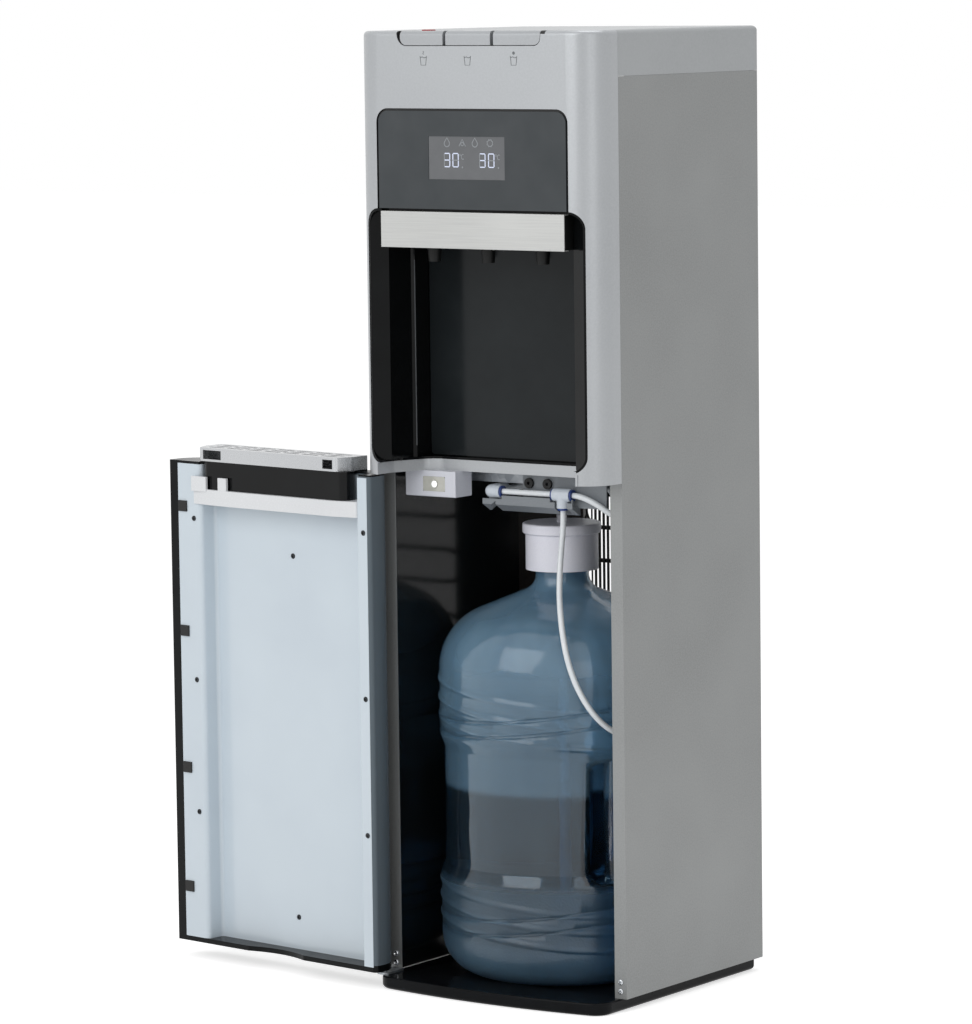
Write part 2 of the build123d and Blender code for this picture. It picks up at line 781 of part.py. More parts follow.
with BuildPart() as head_shell:
    with BuildSketch(level(head_bottom_z)):
        add(bowed_plan(half, head_front_y, panel_front_y - contact_gap, head_corner_radius))
    extrude(amount=total_height - head_bottom_z)
    fillet(head_shell.faces().sort_by(Axis.Z)[-1].edges().filter_by(lambda e: e.center().Y < panel_front_y - 1), head_top_radius)
    with BuildSketch(level(head_bottom_z)):
        add(bowed_plan(half, head_front_y, panel_front_y, head_corner_radius, inset=head_wall))
    extrude(amount=total_height - head_bottom_z - head_wall, mode=Mode.SUBTRACT)
    # the recess that the three buttons sit in, and its floor
    with BuildSketch(level(pocket_floor_z)):
        with Locations((button_left_x, head_front_y - head_wall)):
            Rectangle(
                button_right_x - button_left_x,
                button_rear_y + button_clearance - head_front_y + head_wall,
                align=(Align.MIN, Align.MIN),
            )
    extrude(amount=total_height - pocket_floor_z, mode=Mode.SUBTRACT)
    with BuildSketch(level(pocket_floor_z - head_wall)):
        with Locations((button_left_x - head_wall, head_front_y)):
            Rectangle(
                button_right_x - button_left_x + 2 * head_wall,
                button_rear_y + button_clearance + head_wall - head_front_y,
                align=(Align.MIN, Align.MIN),
            )
    extrude(amount=head_wall)
    with BuildSketch(level(pocket_floor_z)):
        with Locations((button_left_x - head_wall, button_rear_y + button_clearance)):
            Rectangle(button_right_x - button_left_x + 2 * head_wall, head_wall, align=(Align.MIN, Align.MIN))
        for wall_x in (button_left_x - head_wall, button_right_x):
            with Locations((wall_x, head_inner_y)):
                Rectangle(head_wall, button_rear_y + button_clearance - head_inner_y, align=(Align.MIN, Align.MIN))
    extrude(amount=total_height - head_wall - pocket_floor_z)
    # the recess has rounded lower corners at its two ends
    for corner_x, inward in ((button_left_x, button_end_gap), (button_right_x, -button_clearance)):
        reach = inward + (button_corner if inward > 0 else -button_corner)
        arc_centre = Vector(corner_x + reach, pocket_floor_z + abs(reach))
        with BuildSketch(facing_front(pocket_rear_y)):
            with BuildLine():
                ThreePointArc(
                    (corner_x, arc_centre.Y),
                    (arc_centre.X - reach * cos(radians(45)), arc_centre.Y - abs(reach) * sin(radians(45))),
                    (arc_centre.X, pocket_floor_z),
                )
                Line((arc_centre.X, pocket_floor_z), (corner_x, pocket_floor_z))
                Line((corner_x, pocket_floor_z), (corner_x, arc_centre.Y))
            make_face()
        extrude(amount=pocket_rear_y - head_front_y)
    # bottom plate with the notch for the drip tray, and the band that rims the notch
    with BuildSketch(level(head_bottom_z)):
        add(bowed_plan(half, head_front_y, panel_front_y - contact_gap, head_corner_radius))
        with Locations((0, panel_front_y - contact_gap)):
            Rectangle(2 * plate_half_width, plate_rear_y - panel_front_y + contact_gap, align=(Align.CENTER, Align.MIN))
    extrude(amount=bottom_plate)
    with BuildSketch(level(head_bottom_z)):
        add(cutout_plan(band_wall))
        with Locations((0, head_front_y)):
            Rectangle(cabinet_width, head_wall * 4, align=(Align.CENTER, Align.MAX), mode=Mode.SUBTRACT)
    extrude(amount=band_top_z - head_bottom_z)
    # alcove opening, display opening, fascia pocket
    alcove_height = alcove_top_z - band_top_z
    with BuildSketch(facing_front(head_front_y + head_wall + head_corner_radius / 2)):
        with Locations((0, band_top_z + alcove_height / 2)):
            RectangleRounded(alcove_width, alcove_height, alcove_radius)
    extrude(amount=2 * head_corner_radius, mode=Mode.SUBTRACT)
    with BuildSketch(level(head_bottom_z)):
        add(cutout_plan())
    extrude(amount=2 * alcove_radius, mode=Mode.SUBTRACT)
    with BuildSketch(facing_front(head_front_y + fascia_pocket)):
        add(fascia_outline(fascia_gap, alcove_top_z - alcove_wall))
    extrude(amount=2 * fascia_pocket, mode=Mode.SUBTRACT)
    with BuildSketch(facing_front(head_inner_y)):
        with Locations((window_x, window_z)):
            Rectangle(window_width - display_opening, window_height - display_opening)
    extrude(amount=head_wall, mode=Mode.SUBTRACT)
    # stem holes, and the posts that carry the switches
    for left_x, right_x in button_edges:
        middle_x = (left_x + right_x) / 2
        with BuildSketch(level(pocket_floor_z - head_wall)):
            with Locations((middle_x, stem_y)):
                Circle(stem_radius + stem_clearance)
        extrude(amount=head_wall, mode=Mode.SUBTRACT)
        with BuildSketch(level(pocket_floor_z - head_wall)):
            with Locations((middle_x - switch_size[0] / 2 + post_radius, stem_y), (middle_x + switch_size[0] / 2 - post_radius, stem_y)):
                Circle(post_radius)
        extrude(amount=stem_end_z - button_travel - switch_gap - pocket_floor_z + head_wall)
    # hole for the upper hinge pin
    with BuildSketch(level(head_bottom_z)):
        with Locations((hinge_x, hinge_y)):
            Circle(hinge_pin_r + contact_gap)
    extrude(amount=bottom_plate, mode=Mode.SUBTRACT)

# ---------------------------------------------------------------- buttons, switches, child lock
switch_top_z = stem_end_z - button_travel - switch_gap


def push_button(left_x, right_x, round_end=None):
    """One press button: a cap over the head's front edge, one lower end rounded, with a stem."""
    width = right_x - left_x
    depth = button_rear_y - head_front_y
    with BuildPart() as button:
        with BuildSketch(level(button_bottom_z)):
            with Locations((left_x, head_front_y)):
                Rectangle(width, depth, align=(Align.MIN, Align.MIN))
        extrude(amount=total_height - button_bottom_z)
        if round_end is not None:
            lower = button.edges().filter_by(Axis.Y).group_by(Axis.Z)[0].sort_by(Axis.X)
            fillet(lower[round_end], button_corner)
        top_front = button.faces().sort_by(Axis.Z)[-1].edges().sort_by(Axis.Y)[0]
        fillet(top_front, button_front_radius)
        with BuildSketch(level(button_bottom_z)):
            with Locations((left_x + head_wall, head_front_y + head_wall)):
                Rectangle(width - 2 * head_wall, depth - 2 * head_wall, align=(Align.MIN, Align.MIN))
        extrude(amount=total_height - button_bottom_z - 1.5 * head_wall, mode=Mode.SUBTRACT)
        with BuildSketch(level(stem_end_z)):
            with Locations(((left_x + right_x) / 2, stem_y)):
                Circle(stem_radius)
        extrude(amount=total_height - stem_end_z - head_wall)
    return button


plain_hot_button = push_button(*button_edges[0], round_end=0)
room_button = push_button(*button_edges[1])
cold_button = push_button(*button_edges[2], round_end=-1)

with BuildPart() as hot_button:
    add(plain_hot_button.part)
    with BuildSketch(level(total_height - lock_slot_depth)):
        with Locations((lock_x, lock_y - lock_length / 2 - lock_clearance)):
            Rectangle(
                lock_width + 2 * lock_clearance,
                lock_length + lock_travel + 2 * lock_clearance,
                align=(Align.CENTER, Align.MIN),
            )
    extrude(amount=lock_slot_depth, mode=Mode.SUBTRACT)

with BuildPart() as child_lock_slider:
    with BuildSketch(level(total_height - lock_slot_depth)):
        with Locations((lock_x, lock_y)):
            Rectangle(lock_width, lock_length)
    extrude(amount=lock_height)
    fillet(child_lock_slider.faces().sort_by(Axis.Z)[-1].edges(), lock_clearance * 2)

with BuildPart() as button_switches:
    for left_x, right_x in button_edges:
        with BuildSketch(level(switch_top_z)):
            with Locations(((left_x + right_x) / 2, stem_y)):
                Rectangle(switch_size[0], switch_size[1])
        extrude(amount=-switch_size[2])

# ---------------------------------------------------------------- fascia, display, spout bar
with BuildPart() as display_fascia:
    with BuildSketch(facing_front(head_front_y + fascia_pocket)):
        add(fascia_outline(0, fascia_bottom_z))
        with Locations((window_x, window_z)):
            Rectangle(window_width, window_height, mode=Mode.SUBTRACT)
    extrude(amount=fascia_thickness)

with BuildPart() as display_window:
    with BuildSketch(facing_front(head_front_y + fascia_pocket)):
        with Locations((window_x, window_z)):
            Rectangle(window_width - contact_gap, window_height - contact_gap)
    extrude(amount=window_thickness)

with BuildPart() as display_board:
    with BuildSketch(facing_front(head_inner_y + module_depth + board_thickness)):
        with Locations((window_x, window_z)):
            Rectangle(board_width, board_height)
    extrude(amount=board_thickness)
    with BuildSketch(facing_front(head_inner_y + module_depth)):
        with Locations((window_x, window_z)):
            Rectangle(window_width, window_height)
    extrude(amount=module_depth)

with BuildPart() as spout_bar:
    with BuildSketch(facing_side(-bar_width / 2)):
        with Locations((bar_front_y, bar_bottom_z)):
            Rectangle(bar_depth, bar_top_z - bar_bottom_z, align=(Align.MIN, Align.MIN))
        with Locations((bar_front_y + bar_sheet, bar_bottom_z + bar_sheet)):
            Rectangle(bar_depth, bar_top_z - bar_bottom_z - 2 * bar_sheet, align=(Align.MIN, Align.MIN), mode=Mode.SUBTRACT)
    extrude(amount=bar_width)

carrier_bottom_z = bar_bottom_z + bar_sheet
carrier_top_z = min(bar_top_z - bar_sheet, alcove_top_z - alcove_wall - 2 * contact_gap)
carrier_front_y = bar_front_y + bar_sheet

with BuildPart() as nozzle_carrier:
    with BuildSketch(level(carrier_bottom_z)):
        with Locations((0, carrier_front_y)):
            Rectangle(bar_width, carrier_depth, align=(Align.CENTER, Align.MIN))
    extrude(amount=carrier_top_z - carrier_bottom_z)
    with BuildSketch(level(carrier_bottom_z + carrier_wall)):
        with Locations((0, carrier_front_y + carrier_wall)):
            Rectangle(bar_width - 2 * carrier_wall, carrier_depth - 2 * carrier_wall, align=(Align.CENTER, Align.MIN))
    extrude(amount=carrier_top_z - carrier_bottom_z, mode=Mode.SUBTRACT)
    with BuildSketch(level(carrier_bottom_z)):
        with Locations((0, nozzle_y)):
            with GridLocations(nozzle_pitch, 1, 3, 1):
                Circle(nozzle_bore)
    extrude(amount=carrier_wall, mode=Mode.SUBTRACT)


def nozzle(x):
    """A tapered spout under the carrier, bored through."""
    with BuildPart() as spout:
        with BuildSketch(level(carrier_bottom_z)):
            with Locations((x, nozzle_y)):
                Circle(nozzle_radius)
        with BuildSketch(level(carrier_bottom_z - nozzle_drop)):
            with Locations((x, nozzle_y)):
                Circle(nozzle_tip_radius)
        loft()
        with BuildSketch(level(carrier_bottom_z)):
            with Locations((x, nozzle_y)):
                Circle(nozzle_bore)
        extrude(amount=-nozzle_drop, mode=Mode.SUBTRACT)
    return spout


hot_nozzle = nozzle(-nozzle_pitch)
room_nozzle = nozzle(0)
cold_nozzle = nozzle(nozzle_pitch)

# ---------------------------------------------------------------- alcove liner and back panel
liner_centre_z = band_top_z + alcove_height / 2
liner_mouth_x = (alcove_width - contact_gap) / 2 - alcove_wall
liner_throat_x = liner_mouth_x - bezel_width
liner_rear_x = liner_throat_x - side_step
# The head's rounded corner falls back by this much where the alcove's opening ends.
corner_run = max(alcove_width / 2 - half + head_corner_radius, 0.0)
bezel_front_y = head_front_y + head_corner_radius - (head_corner_radius**2 - corner_run**2) ** 0.5


def alcove_plan(wall):
    """Draw the alcove's plan, grown by wall: a sloping bezel, then sides with one small step."""
    right = [
        (liner_mouth_x + wall, head_front_y),
        (liner_mouth_x + wall, bezel_front_y + wall),
        (liner_throat_x + wall, bezel_front_y + bezel_depth + wall),
        (liner_throat_x + wall, side_step_y - side_step + wall),
        (liner_rear_x + wall, side_step_y + wall),
        (liner_rear_x + wall, alcove_rear_y + wall),
    ]
    with BuildSketch() as outline:
        with BuildLine():
            Polyline(*right, *[(-x, y) for x, y in reversed(right)], close=True)
        make_face()
    return outline.sketch


def alcove_block(wall):
    """The space inside the alcove's liner, grown by wall, with the opening's round corners."""
    height = alcove_height - contact_gap - 2 * alcove_wall + 2 * wall
    with BuildPart() as block:
        with BuildSketch(level(liner_centre_z - height / 2)):
            add(alcove_plan(wall))
        extrude(amount=height)
        with BuildSketch(facing_front(0)):
            with Locations((0, liner_centre_z)):
                RectangleRounded(2 * (liner_mouth_x + wall), height, alcove_radius - alcove_wall + wall)
        extrude(amount=-head_front_y, mode=Mode.INTERSECT)
    return block.part


with BuildPart() as alcove_liner:
    add(alcove_block(alcove_wall))
    add(alcove_block(0), mode=Mode.SUBTRACT)
    # the floor is open over the notch for the drip tray
    with BuildSketch(level(band_top_z)):
        add(cutout_plan())
    extrude(amount=alcove_wall + 2 * contact_gap, mode=Mode.SUBTRACT)
    with BuildSketch(level(band_top_z)):
        add(bowed_plan(half, head_front_y, 0, head_corner_radius, inset=alcove_inset))
    extrude(amount=alcove_height, mode=Mode.INTERSECT)
    # the front edge of the roof is notched for the spout bar's flange
    with BuildSketch(level(bar_bottom_z)):
        with Locations((0, head_front_y)):
            Rectangle(
                bar_width + 2 * contact_gap,
                bar_front_y + bar_depth + contact_gap - head_front_y,
                align=(Align.CENTER, Align.MIN),
            )
    extrude(amount=alcove_top_z - bar_bottom_z, mode=Mode.SUBTRACT)

with BuildPart() as alcove_back_panel:
    with BuildSketch(facing_front(alcove_rear_y)):
        with Locations((0, liner_centre_z)):
            RectangleRounded(
                2 * (liner_rear_x - back_panel_margin),
                alcove_height - 2 * alcove_wall - 2 * back_panel_margin,
                back_panel_radius,
            )
    extrude(amount=back_panel_thickness)

# ---------------------------------------------------------------- top cover and rear panel
with BuildPart() as top_cover:
    cover_depth = panel_rear_y - panel_front_y
    with BuildSketch(level(panel_top_z + contact_gap)):
        with Locations((0, panel_front_y)):
            Rectangle(cabinet_width, cover_depth, align=(Align.CENTER, Align.MIN))
    extrude(amount=total_height - panel_top_z - contact_gap)
    cover_top = top_cover.faces().sort_by(Axis.Z)[-1].edges()
    fillet(cover_top.filter_by(lambda e: e.center().Y > panel_front_y + 1), cover_radius)
    with BuildSketch(level(panel_top_z)):
        with Locations((0, panel_front_y - 1)):
            Rectangle(cabinet_width - 2 * cover_wall, cover_depth + 1 - cover_wall, align=(Align.CENTER, Align.MIN))
    extrude(amount=total_height - panel_top_z - cover_wall, mode=Mode.SUBTRACT)
    lip_half = inner_x - contact_gap
    with BuildSketch(level(panel_top_z - cover_lip)):
        with Locations((0, panel_front_y + flange_width)):
            Rectangle(2 * lip_half, cover_depth - 2 * flange_width, align=(Align.CENTER, Align.MIN))
        with Locations((0, panel_front_y)):
            Rectangle(2 * (lip_half - cover_lip_wall), cover_depth, align=(Align.CENTER, Align.MIN), mode=Mode.SUBTRACT)
    extrude(amount=cover_lip + cover_wall)

with BuildPart() as rear_panel:
    rear_height = panel_top_z - deck_top_z - 2 * cover_lip
    with BuildSketch(facing_front(rear_inner_y)):
        with Locations((0, deck_top_z)):
            Rectangle(2 * (inner_x - contact_gap), rear_height, align=(Align.CENTER, Align.MIN))
        with Locations((0, louvre_z)):
            with GridLocations(louvre_pitch_x, louvre_pitch_z, int(louvre_columns), int(louvre_rows)):
                Rectangle(louvre_width, louvre_height, mode=Mode.SUBTRACT)
        for rocker_x in rocker_xs:
            with Locations((rocker_x, rocker_z)):
                Rectangle(rocker_width, rocker_height, mode=Mode.SUBTRACT)
    extrude(amount=sheet)
    # drain spout at the foot of the panel
    with BuildSketch(facing_front(rear_inner_y)):
        with Locations((drain_x, drain_z)):
            Circle(drain_radius)
    extrude(amount=-drain_spout_length)
    with BuildSketch(facing_front(rear_panel_y)):
        with Locations((drain_x, drain_z)):
            Circle(drain_bore)
    extrude(amount=-drain_spout_length - 2 * sheet, mode=Mode.SUBTRACT)
    # moulded rocker surrounds, with the pivot stubs' walls left and right of each rocker
    for rocker_x in rocker_xs:
        with BuildSketch(facing_front(rear_inner_y)):
            with Locations((rocker_x, rocker_z)):
                Rectangle(rocker_width + 2 * rocker_frame, rocker_height + 2 * rocker_frame)
                Rectangle(rocker_width, rocker_height, mode=Mode.SUBTRACT)
        extrude(amount=-rocker_frame)
        with BuildSketch(facing_front(rear_panel_y)):
            with Locations((rocker_x, rocker_z)):
                Rectangle(rocker_width + 2 * rocker_frame, rocker_height + 2 * rocker_frame)
                Rectangle(rocker_width, rocker_height, mode=Mode.SUBTRACT)
        extrude(amount=rocker_radius)
    # cord gland
    with BuildSketch(facing_front(rear_inner_y)):
        with Locations((gland_x, gland_z)):
            Circle(gland_radius)
    extrude(amount=-gland_height)
    with BuildSketch(facing_front(rear_panel_y)):
        with Locations((gland_x, gland_z)):
            Circle(gland_bore)
    extrude(amount=-gland_height - 2 * sheet, mode=Mode.SUBTRACT)


def rocker(x):
    """A rocker switch's key: a sector about a cross axis, tipped to its lower position."""
    pivot_y = rear_inner_y - rocker_frame
    with BuildPart() as key:
        with BuildSketch(facing_side(x - rocker_width / 2 + rocker_clearance)):
            with BuildLine():
                reach = rocker_height / 2 - 1.5
                lift = rocker_frame + 1.0
                Polyline(
                    (pivot_y - lift * 2, rocker_z - reach * 0.5),
                    (pivot_y + lift, rocker_z - reach),
                    (pivot_y + lift * 0.6, rocker_z),
                    (pivot_y + lift, rocker_z + reach),
                    (pivot_y - lift * 2, rocker_z + reach * 0.5),
                    (pivot_y - lift * 2, rocker_z - reach * 0.5),
                )
            make_face()
        extrude(amount=rocker_width - 2 * rocker_clearance)
    key.part = key.part.rotate(Axis((x, pivot_y, rocker_z), (1, 0, 0)), -rocker_tilt)
    return key


heat_switch = rocker(rocker_xs[0])
cool_switch = rocker(rocker_xs[1])

with BuildPart() as drain_cap:
    with BuildSketch(facing_front(rear_inner_y + contact_gap)):
        with Locations((drain_x, drain_z)):
            RegularPolygon(drain_cap_radius, 12)
    extrude(amount=-drain_cap_length)
    with BuildSketch(facing_front(rear_inner_y + contact_gap)):
        with Locations((drain_x, drain_z)):
            Circle(drain_radius + drain_cap_clearance)
    extrude(amount=-drain_spout_length, mode=Mode.SUBTRACT)

# ---------------------------------------------------------------- machine space
with BuildPart() as compressor:
    foot_z = deck_top_z + mount_height
    shell_z = foot_z + compressor_foot
    with BuildSketch(level(foot_z)):
        with Locations((compressor_x, compressor_y)):
            RectangleRounded(mount_pitch_x + 2 * mount_radius, mount_pitch_y + 2 * mount_radius, mount_radius)
            with GridLocations(mount_pitch_x, mount_pitch_y, 2, 2):
                Circle(screw_r, mode=Mode.SUBTRACT)
    extrude(amount=compressor_foot)
    with BuildSketch(level(shell_z)):
        with Locations((compressor_x, compressor_y)):
            Circle(compressor_radius)
    extrude(amount=compressor_height - compressor_foot)
    fillet(compressor.faces().sort_by(Axis.Z)[-1].edges(), compressor_radius * 0.55)
    with BuildSketch(level(shell_z + compressor_height / 2)):
        with Locations((compressor_x, compressor_y)):
            Circle(compressor_radius + 2.0)
    extrude(amount=3.0)

with BuildPart() as compressor_mounts:
    with BuildSketch(level(deck_top_z)):
        with Locations((compressor_x, compressor_y)):
            with GridLocations(mount_pitch_x, mount_pitch_y, 2, 2):
                Circle(mount_radius)
                Circle(screw_r, mode=Mode.SUBTRACT)
    extrude(amount=mount_height)

with BuildPart() as cold_tank:
    with BuildSketch(level(deck_top_z + jacket_wall)):
        with Locations((cold_x, cold_y)):
            Circle(cold_radius)
    extrude(amount=cold_height)
    with BuildSketch(level(deck_top_z + jacket_wall + tank_wall)):
        with Locations((cold_x, cold_y)):
            Circle(cold_radius - tank_wall)
    extrude(amount=cold_height - 2 * tank_wall, mode=Mode.SUBTRACT)
    # the feed pipe comes up through the tank's floor
    with BuildSketch(level(deck_top_z + jacket_wall)):
        with Locations((elbow_x, riser_rear_y)):
            Circle(tube_r)
    extrude(amount=tank_wall, mode=Mode.SUBTRACT)

with BuildPart() as cold_tank_jacket:
    with BuildSketch(level(deck_top_z)):
        with Locations((cold_x, cold_y)):
            Circle(jacket_radius)
    extrude(amount=cold_height + jacket_wall)
    with BuildSketch(level(deck_top_z + jacket_wall)):
        with Locations((cold_x, cold_y)):
            Circle(cold_radius + contact_gap)
    extrude(amount=cold_height, mode=Mode.SUBTRACT)
    with BuildSketch(level(deck_top_z)):
        with Locations((elbow_x, riser_rear_y)):
            Circle(pipe_hole)
    extrude(amount=jacket_wall, mode=Mode.SUBTRACT)

with BuildPart() as hot_tank_water:
    with BuildSketch(level(hot_z + tank_wall)):
        with Locations((hot_x, hot_y)):
            Circle(hot_radius - tank_wall)
    extrude(amount=hot_height - 2 * tank_wall)
    fillet(hot_tank_water.faces().filter_by(GeomType.PLANE).edges(), hot_edge_radius - tank_wall)

with BuildPart() as hot_tank:
    with BuildSketch(level(hot_z)):
        with Locations((hot_x, hot_y)):
            Circle(hot_radius)
    extrude(amount=hot_height)
    fillet(hot_tank.faces().filter_by(GeomType.PLANE).edges(), hot_edge_radius)
    # the bracket that hangs it on the rear panel, and the port in its floor
    with BuildSketch(level(hot_z + (hot_height - hot_foot_height) / 2)):
        with Locations((hot_x, rear_panel_y)):
            Rectangle(hot_foot_width, rear_panel_y - hot_y, align=(Align.CENTER, Align.MAX))
    extrude(amount=hot_foot_height)
    add(hot_tank_water.part, mode=Mode.SUBTRACT)
    with BuildSketch(level(hot_z)):
        with Locations((hot_x, hot_y)):
            Circle(hot_port_radius)
    extrude(amount=tank_wall, mode=Mode.SUBTRACT)

with BuildPart() as refrigerant_lines:
    suction_points = [
        (cold_x + jacket_radius + contact_gap, cold_y, suction_z),
        (cold_x + jacket_radius + suction_run, cold_y, suction_z),
        (compressor_x - suction_inset, compressor_y, suction_z),
        (compressor_x - suction_inset, compressor_y, shell_z + compressor_height - compressor_foot + contact_gap),
    ]
    with BuildLine() as suction_path:
        FilletPolyline(*suction_points, radius=bend_radii(suction_points))
    with BuildSketch(Plane(origin=suction_path.wire() @ 0, z_dir=suction_path.wire() % 0)):
        Circle(line_radius)
    sweep(path=suction_path.wire())
    # filter drier standing between the coil's outlet and the cold tank
    with BuildSketch(level(coil_end_z)):
        with Locations((coil_riser_x, coil_y)):
            Circle(3 * coil_tube / 2)
    extrude(amount=60)

with BuildPart() as pump:
    pump_base_z = deck_top_z
    with BuildSketch(level(pump_base_z)):
        with Locations((pump_x, pump_y)):
            Rectangle(2 * pump_radius, pump_length)
    extrude(amount=pump_foot)
    with BuildSketch(facing_front(pump_y + pump_length / 2)):
        with Locations((pump_x, pump_base_z + pump_radius + contact_gap)):
            Circle(pump_radius)
    extrude(amount=pump_length)
    with BuildSketch(level(riser_end_z)):
        with Locations(feed_top):
            Circle(pump_nipple_r)
    extrude(amount=pump_base_z - riser_end_z + pump_foot / 2)

with BuildPart() as dispense_valves:
    valve_z = alcove_top_z - contact_gap / 2
    with BuildSketch(level(valve_z)):
        with Locations((0, valve_y)):
            with GridLocations(valve_pitch, 1, 3, 1):
                Rectangle(26, 34)
    extrude(amount=20)
    with BuildSketch(level(valve_z + 20)):
        with Locations((0, valve_y)):
            with GridLocations(valve_pitch, 1, 3, 1):
                Circle(10)
    extrude(amount=26)

# ---------------------------------------------------------------- pump bracket, grommets, fittings
with BuildPart() as pump_bracket:
    plate_front = bracket_y
    plate_back = bracket_y + bracket_sheet
    lip_y = bracket_y - bracket_shelf_depth
    with BuildSketch(facing_side(bracket_left_x)):
        with BuildLine():
            Polyline(
                (plate_back, bracket_lip_z - 4),
                (plate_front, bracket_lip_z - 4),
                (plate_front, bracket_low_z + bracket_sheet),
                (lip_y + bracket_sheet, bracket_low_z + bracket_sheet),
                (lip_y + bracket_sheet, bracket_lip_z),
                (lip_y, bracket_lip_z),
                (lip_y, bracket_low_z),
                (plate_front + 2, bracket_bottom_z),
                (plate_back + 2, bracket_bottom_z),
                (plate_back, bracket_lip_z - 4),
            )
        make_face()
    extrude(amount=bracket_shelf_right_x - bracket_left_x)
    with BuildSketch(facing_front(plate_back)):
        with Locations((bracket_plate_x, bracket_low_z)):
            Rectangle(
                bracket_right_x - bracket_plate_x,
                bracket_top_z - bracket_low_z,
                align=(Align.MIN, Align.MIN),
            )
    extrude(amount=bracket_sheet)
    # the top return that hangs the bracket on the deck's front flange
    with BuildSketch(level(bracket_top_z - bracket_sheet)):
        with Locations((bracket_plate_x, bracket_y)):
            Rectangle(
                bracket_right_x - bracket_plate_x,
                deck_front_y - bracket_y,
                align=(Align.MIN, Align.MIN),
            )
    extrude(amount=bracket_sheet)
    # slanted lower left corner
    with BuildSketch(facing_front(plate_back + 4)):
        with Locations((bracket_left_x, bracket_bottom_z - 1)):
            Triangle(a=17, b=13, C=90, align=(Align.MIN, Align.MIN))
    extrude(amount=bracket_shelf_depth * 3, mode=Mode.SUBTRACT)
    # the tee's lower leg passes through the shelf; the lip is low under the elbow and the tee's arms
    with BuildSketch(level(bracket_bottom_z)):
        with Locations((tee_x, bracket_y)):
            Rectangle(2 * bracket_notch, 2 * bracket_shelf_depth, align=(Align.CENTER, Align.MAX))
    extrude(amount=bracket_top_z - bracket_bottom_z, mode=Mode.SUBTRACT)
    with BuildSketch(level(bracket_notch_z)):
        with Locations((bracket_left_x, bracket_y)):
            Rectangle(elbow_end_x + 3 - bracket_left_x, 2 * bracket_shelf_depth, align=(Align.MIN, Align.MAX))
        with Locations((tee_x, bracket_y)):
            Rectangle(2 * (tee_arm + 3), 2 * bracket_shelf_depth, align=(Align.CENTER, Align.MAX))
    extrude(amount=bracket_top_z - bracket_notch_z, mode=Mode.SUBTRACT)
    with BuildSketch(facing_front(plate_back)):
        for grommet_x in grommet_xs:
            with Locations((grommet_x, grommet_z)):
                Circle(grommet_neck_r + contact_gap)
    extrude(amount=bracket_sheet, mode=Mode.SUBTRACT)

with BuildPart() as pump_grommets:
    for grommet_x in grommet_xs:
        with BuildSketch(facing_front(bracket_y)):
            with Locations((grommet_x, grommet_z)):
                Circle(grommet_r)
                Circle(grommet_bore, mode=Mode.SUBTRACT)
        extrude(amount=grommet_thickness)
        with BuildSketch(facing_front(bracket_y)):
            with Locations((grommet_x, grommet_z)):
                Circle(grommet_neck_r)
                Circle(grommet_bore, mode=Mode.SUBTRACT)
        extrude(amount=-bracket_sheet)

socket_r = tube_r + tube_fit
tee_left_x = tee_x - tee_arm
tee_right_x = tee_x + tee_arm
tee_bottom_z = pipe_z - tee_drop
collar_end_z = tee_bottom_z - collar_length

with BuildPart() as elbow_fitting:
    with BuildSketch(facing_side(elbow_x)):
        with Locations((pipe_y, pipe_z)):
            Circle(fitting_r)
    extrude(amount=elbow_end_x - elbow_x)
    with BuildSketch(facing_front(pipe_y + elbow_leg)):
        with Locations((elbow_x, pipe_z)):
            Circle(fitting_r)
    extrude(amount=elbow_leg)
    with Locations((elbow_x, pipe_y, pipe_z)):
        Sphere(fitting_r)
    with BuildSketch(facing_side(elbow_end_x)):
        with Locations((pipe_y, pipe_z)):
            Circle(socket_r)
    extrude(amount=-socket_depth, mode=Mode.SUBTRACT)
    with BuildSketch(facing_front(pipe_y + elbow_leg)):
        with Locations((elbow_x, pipe_z)):
            Circle(socket_r)
    extrude(amount=socket_depth, mode=Mode.SUBTRACT)

with BuildPart() as tee_fitting:
    with BuildSketch(level(tee_bottom_z)):
        with Locations((tee_x, pipe_y)):
            Circle(fitting_r)
    extrude(amount=tee_drop)
    with Locations((tee_x, pipe_y, pipe_z)):
        Sphere(fitting_r)
    with BuildSketch(facing_side(tee_left_x)):
        with Locations((pipe_y, pipe_z)):
            Circle(fitting_r)
    extrude(amount=2 * tee_arm)
    with BuildSketch(facing_side(tee_left_x)):
        with Locations((pipe_y, pipe_z)):
            Circle(socket_r)
    extrude(amount=socket_depth, mode=Mode.SUBTRACT)
    with BuildSketch(facing_side(tee_right_x)):
        with Locations((pipe_y, pipe_z)):
            Circle(socket_r)
    extrude(amount=-socket_depth, mode=Mode.SUBTRACT)

with BuildPart() as fitting_collars:
    for collar_x in (elbow_end_x, tee_right_x, tee_left_x - collar_length):
        with BuildSketch(facing_side(collar_x)):
            with Locations((pipe_y, pipe_z)):
                Circle(collar_r)
                Circle(socket_r, mode=Mode.SUBTRACT)
        extrude(amount=collar_length)
    with BuildSketch(level(tee_bottom_z)):
        with Locations((tee_x, pipe_y)):
            Circle(collar_r)
    extrude(amount=-collar_length)

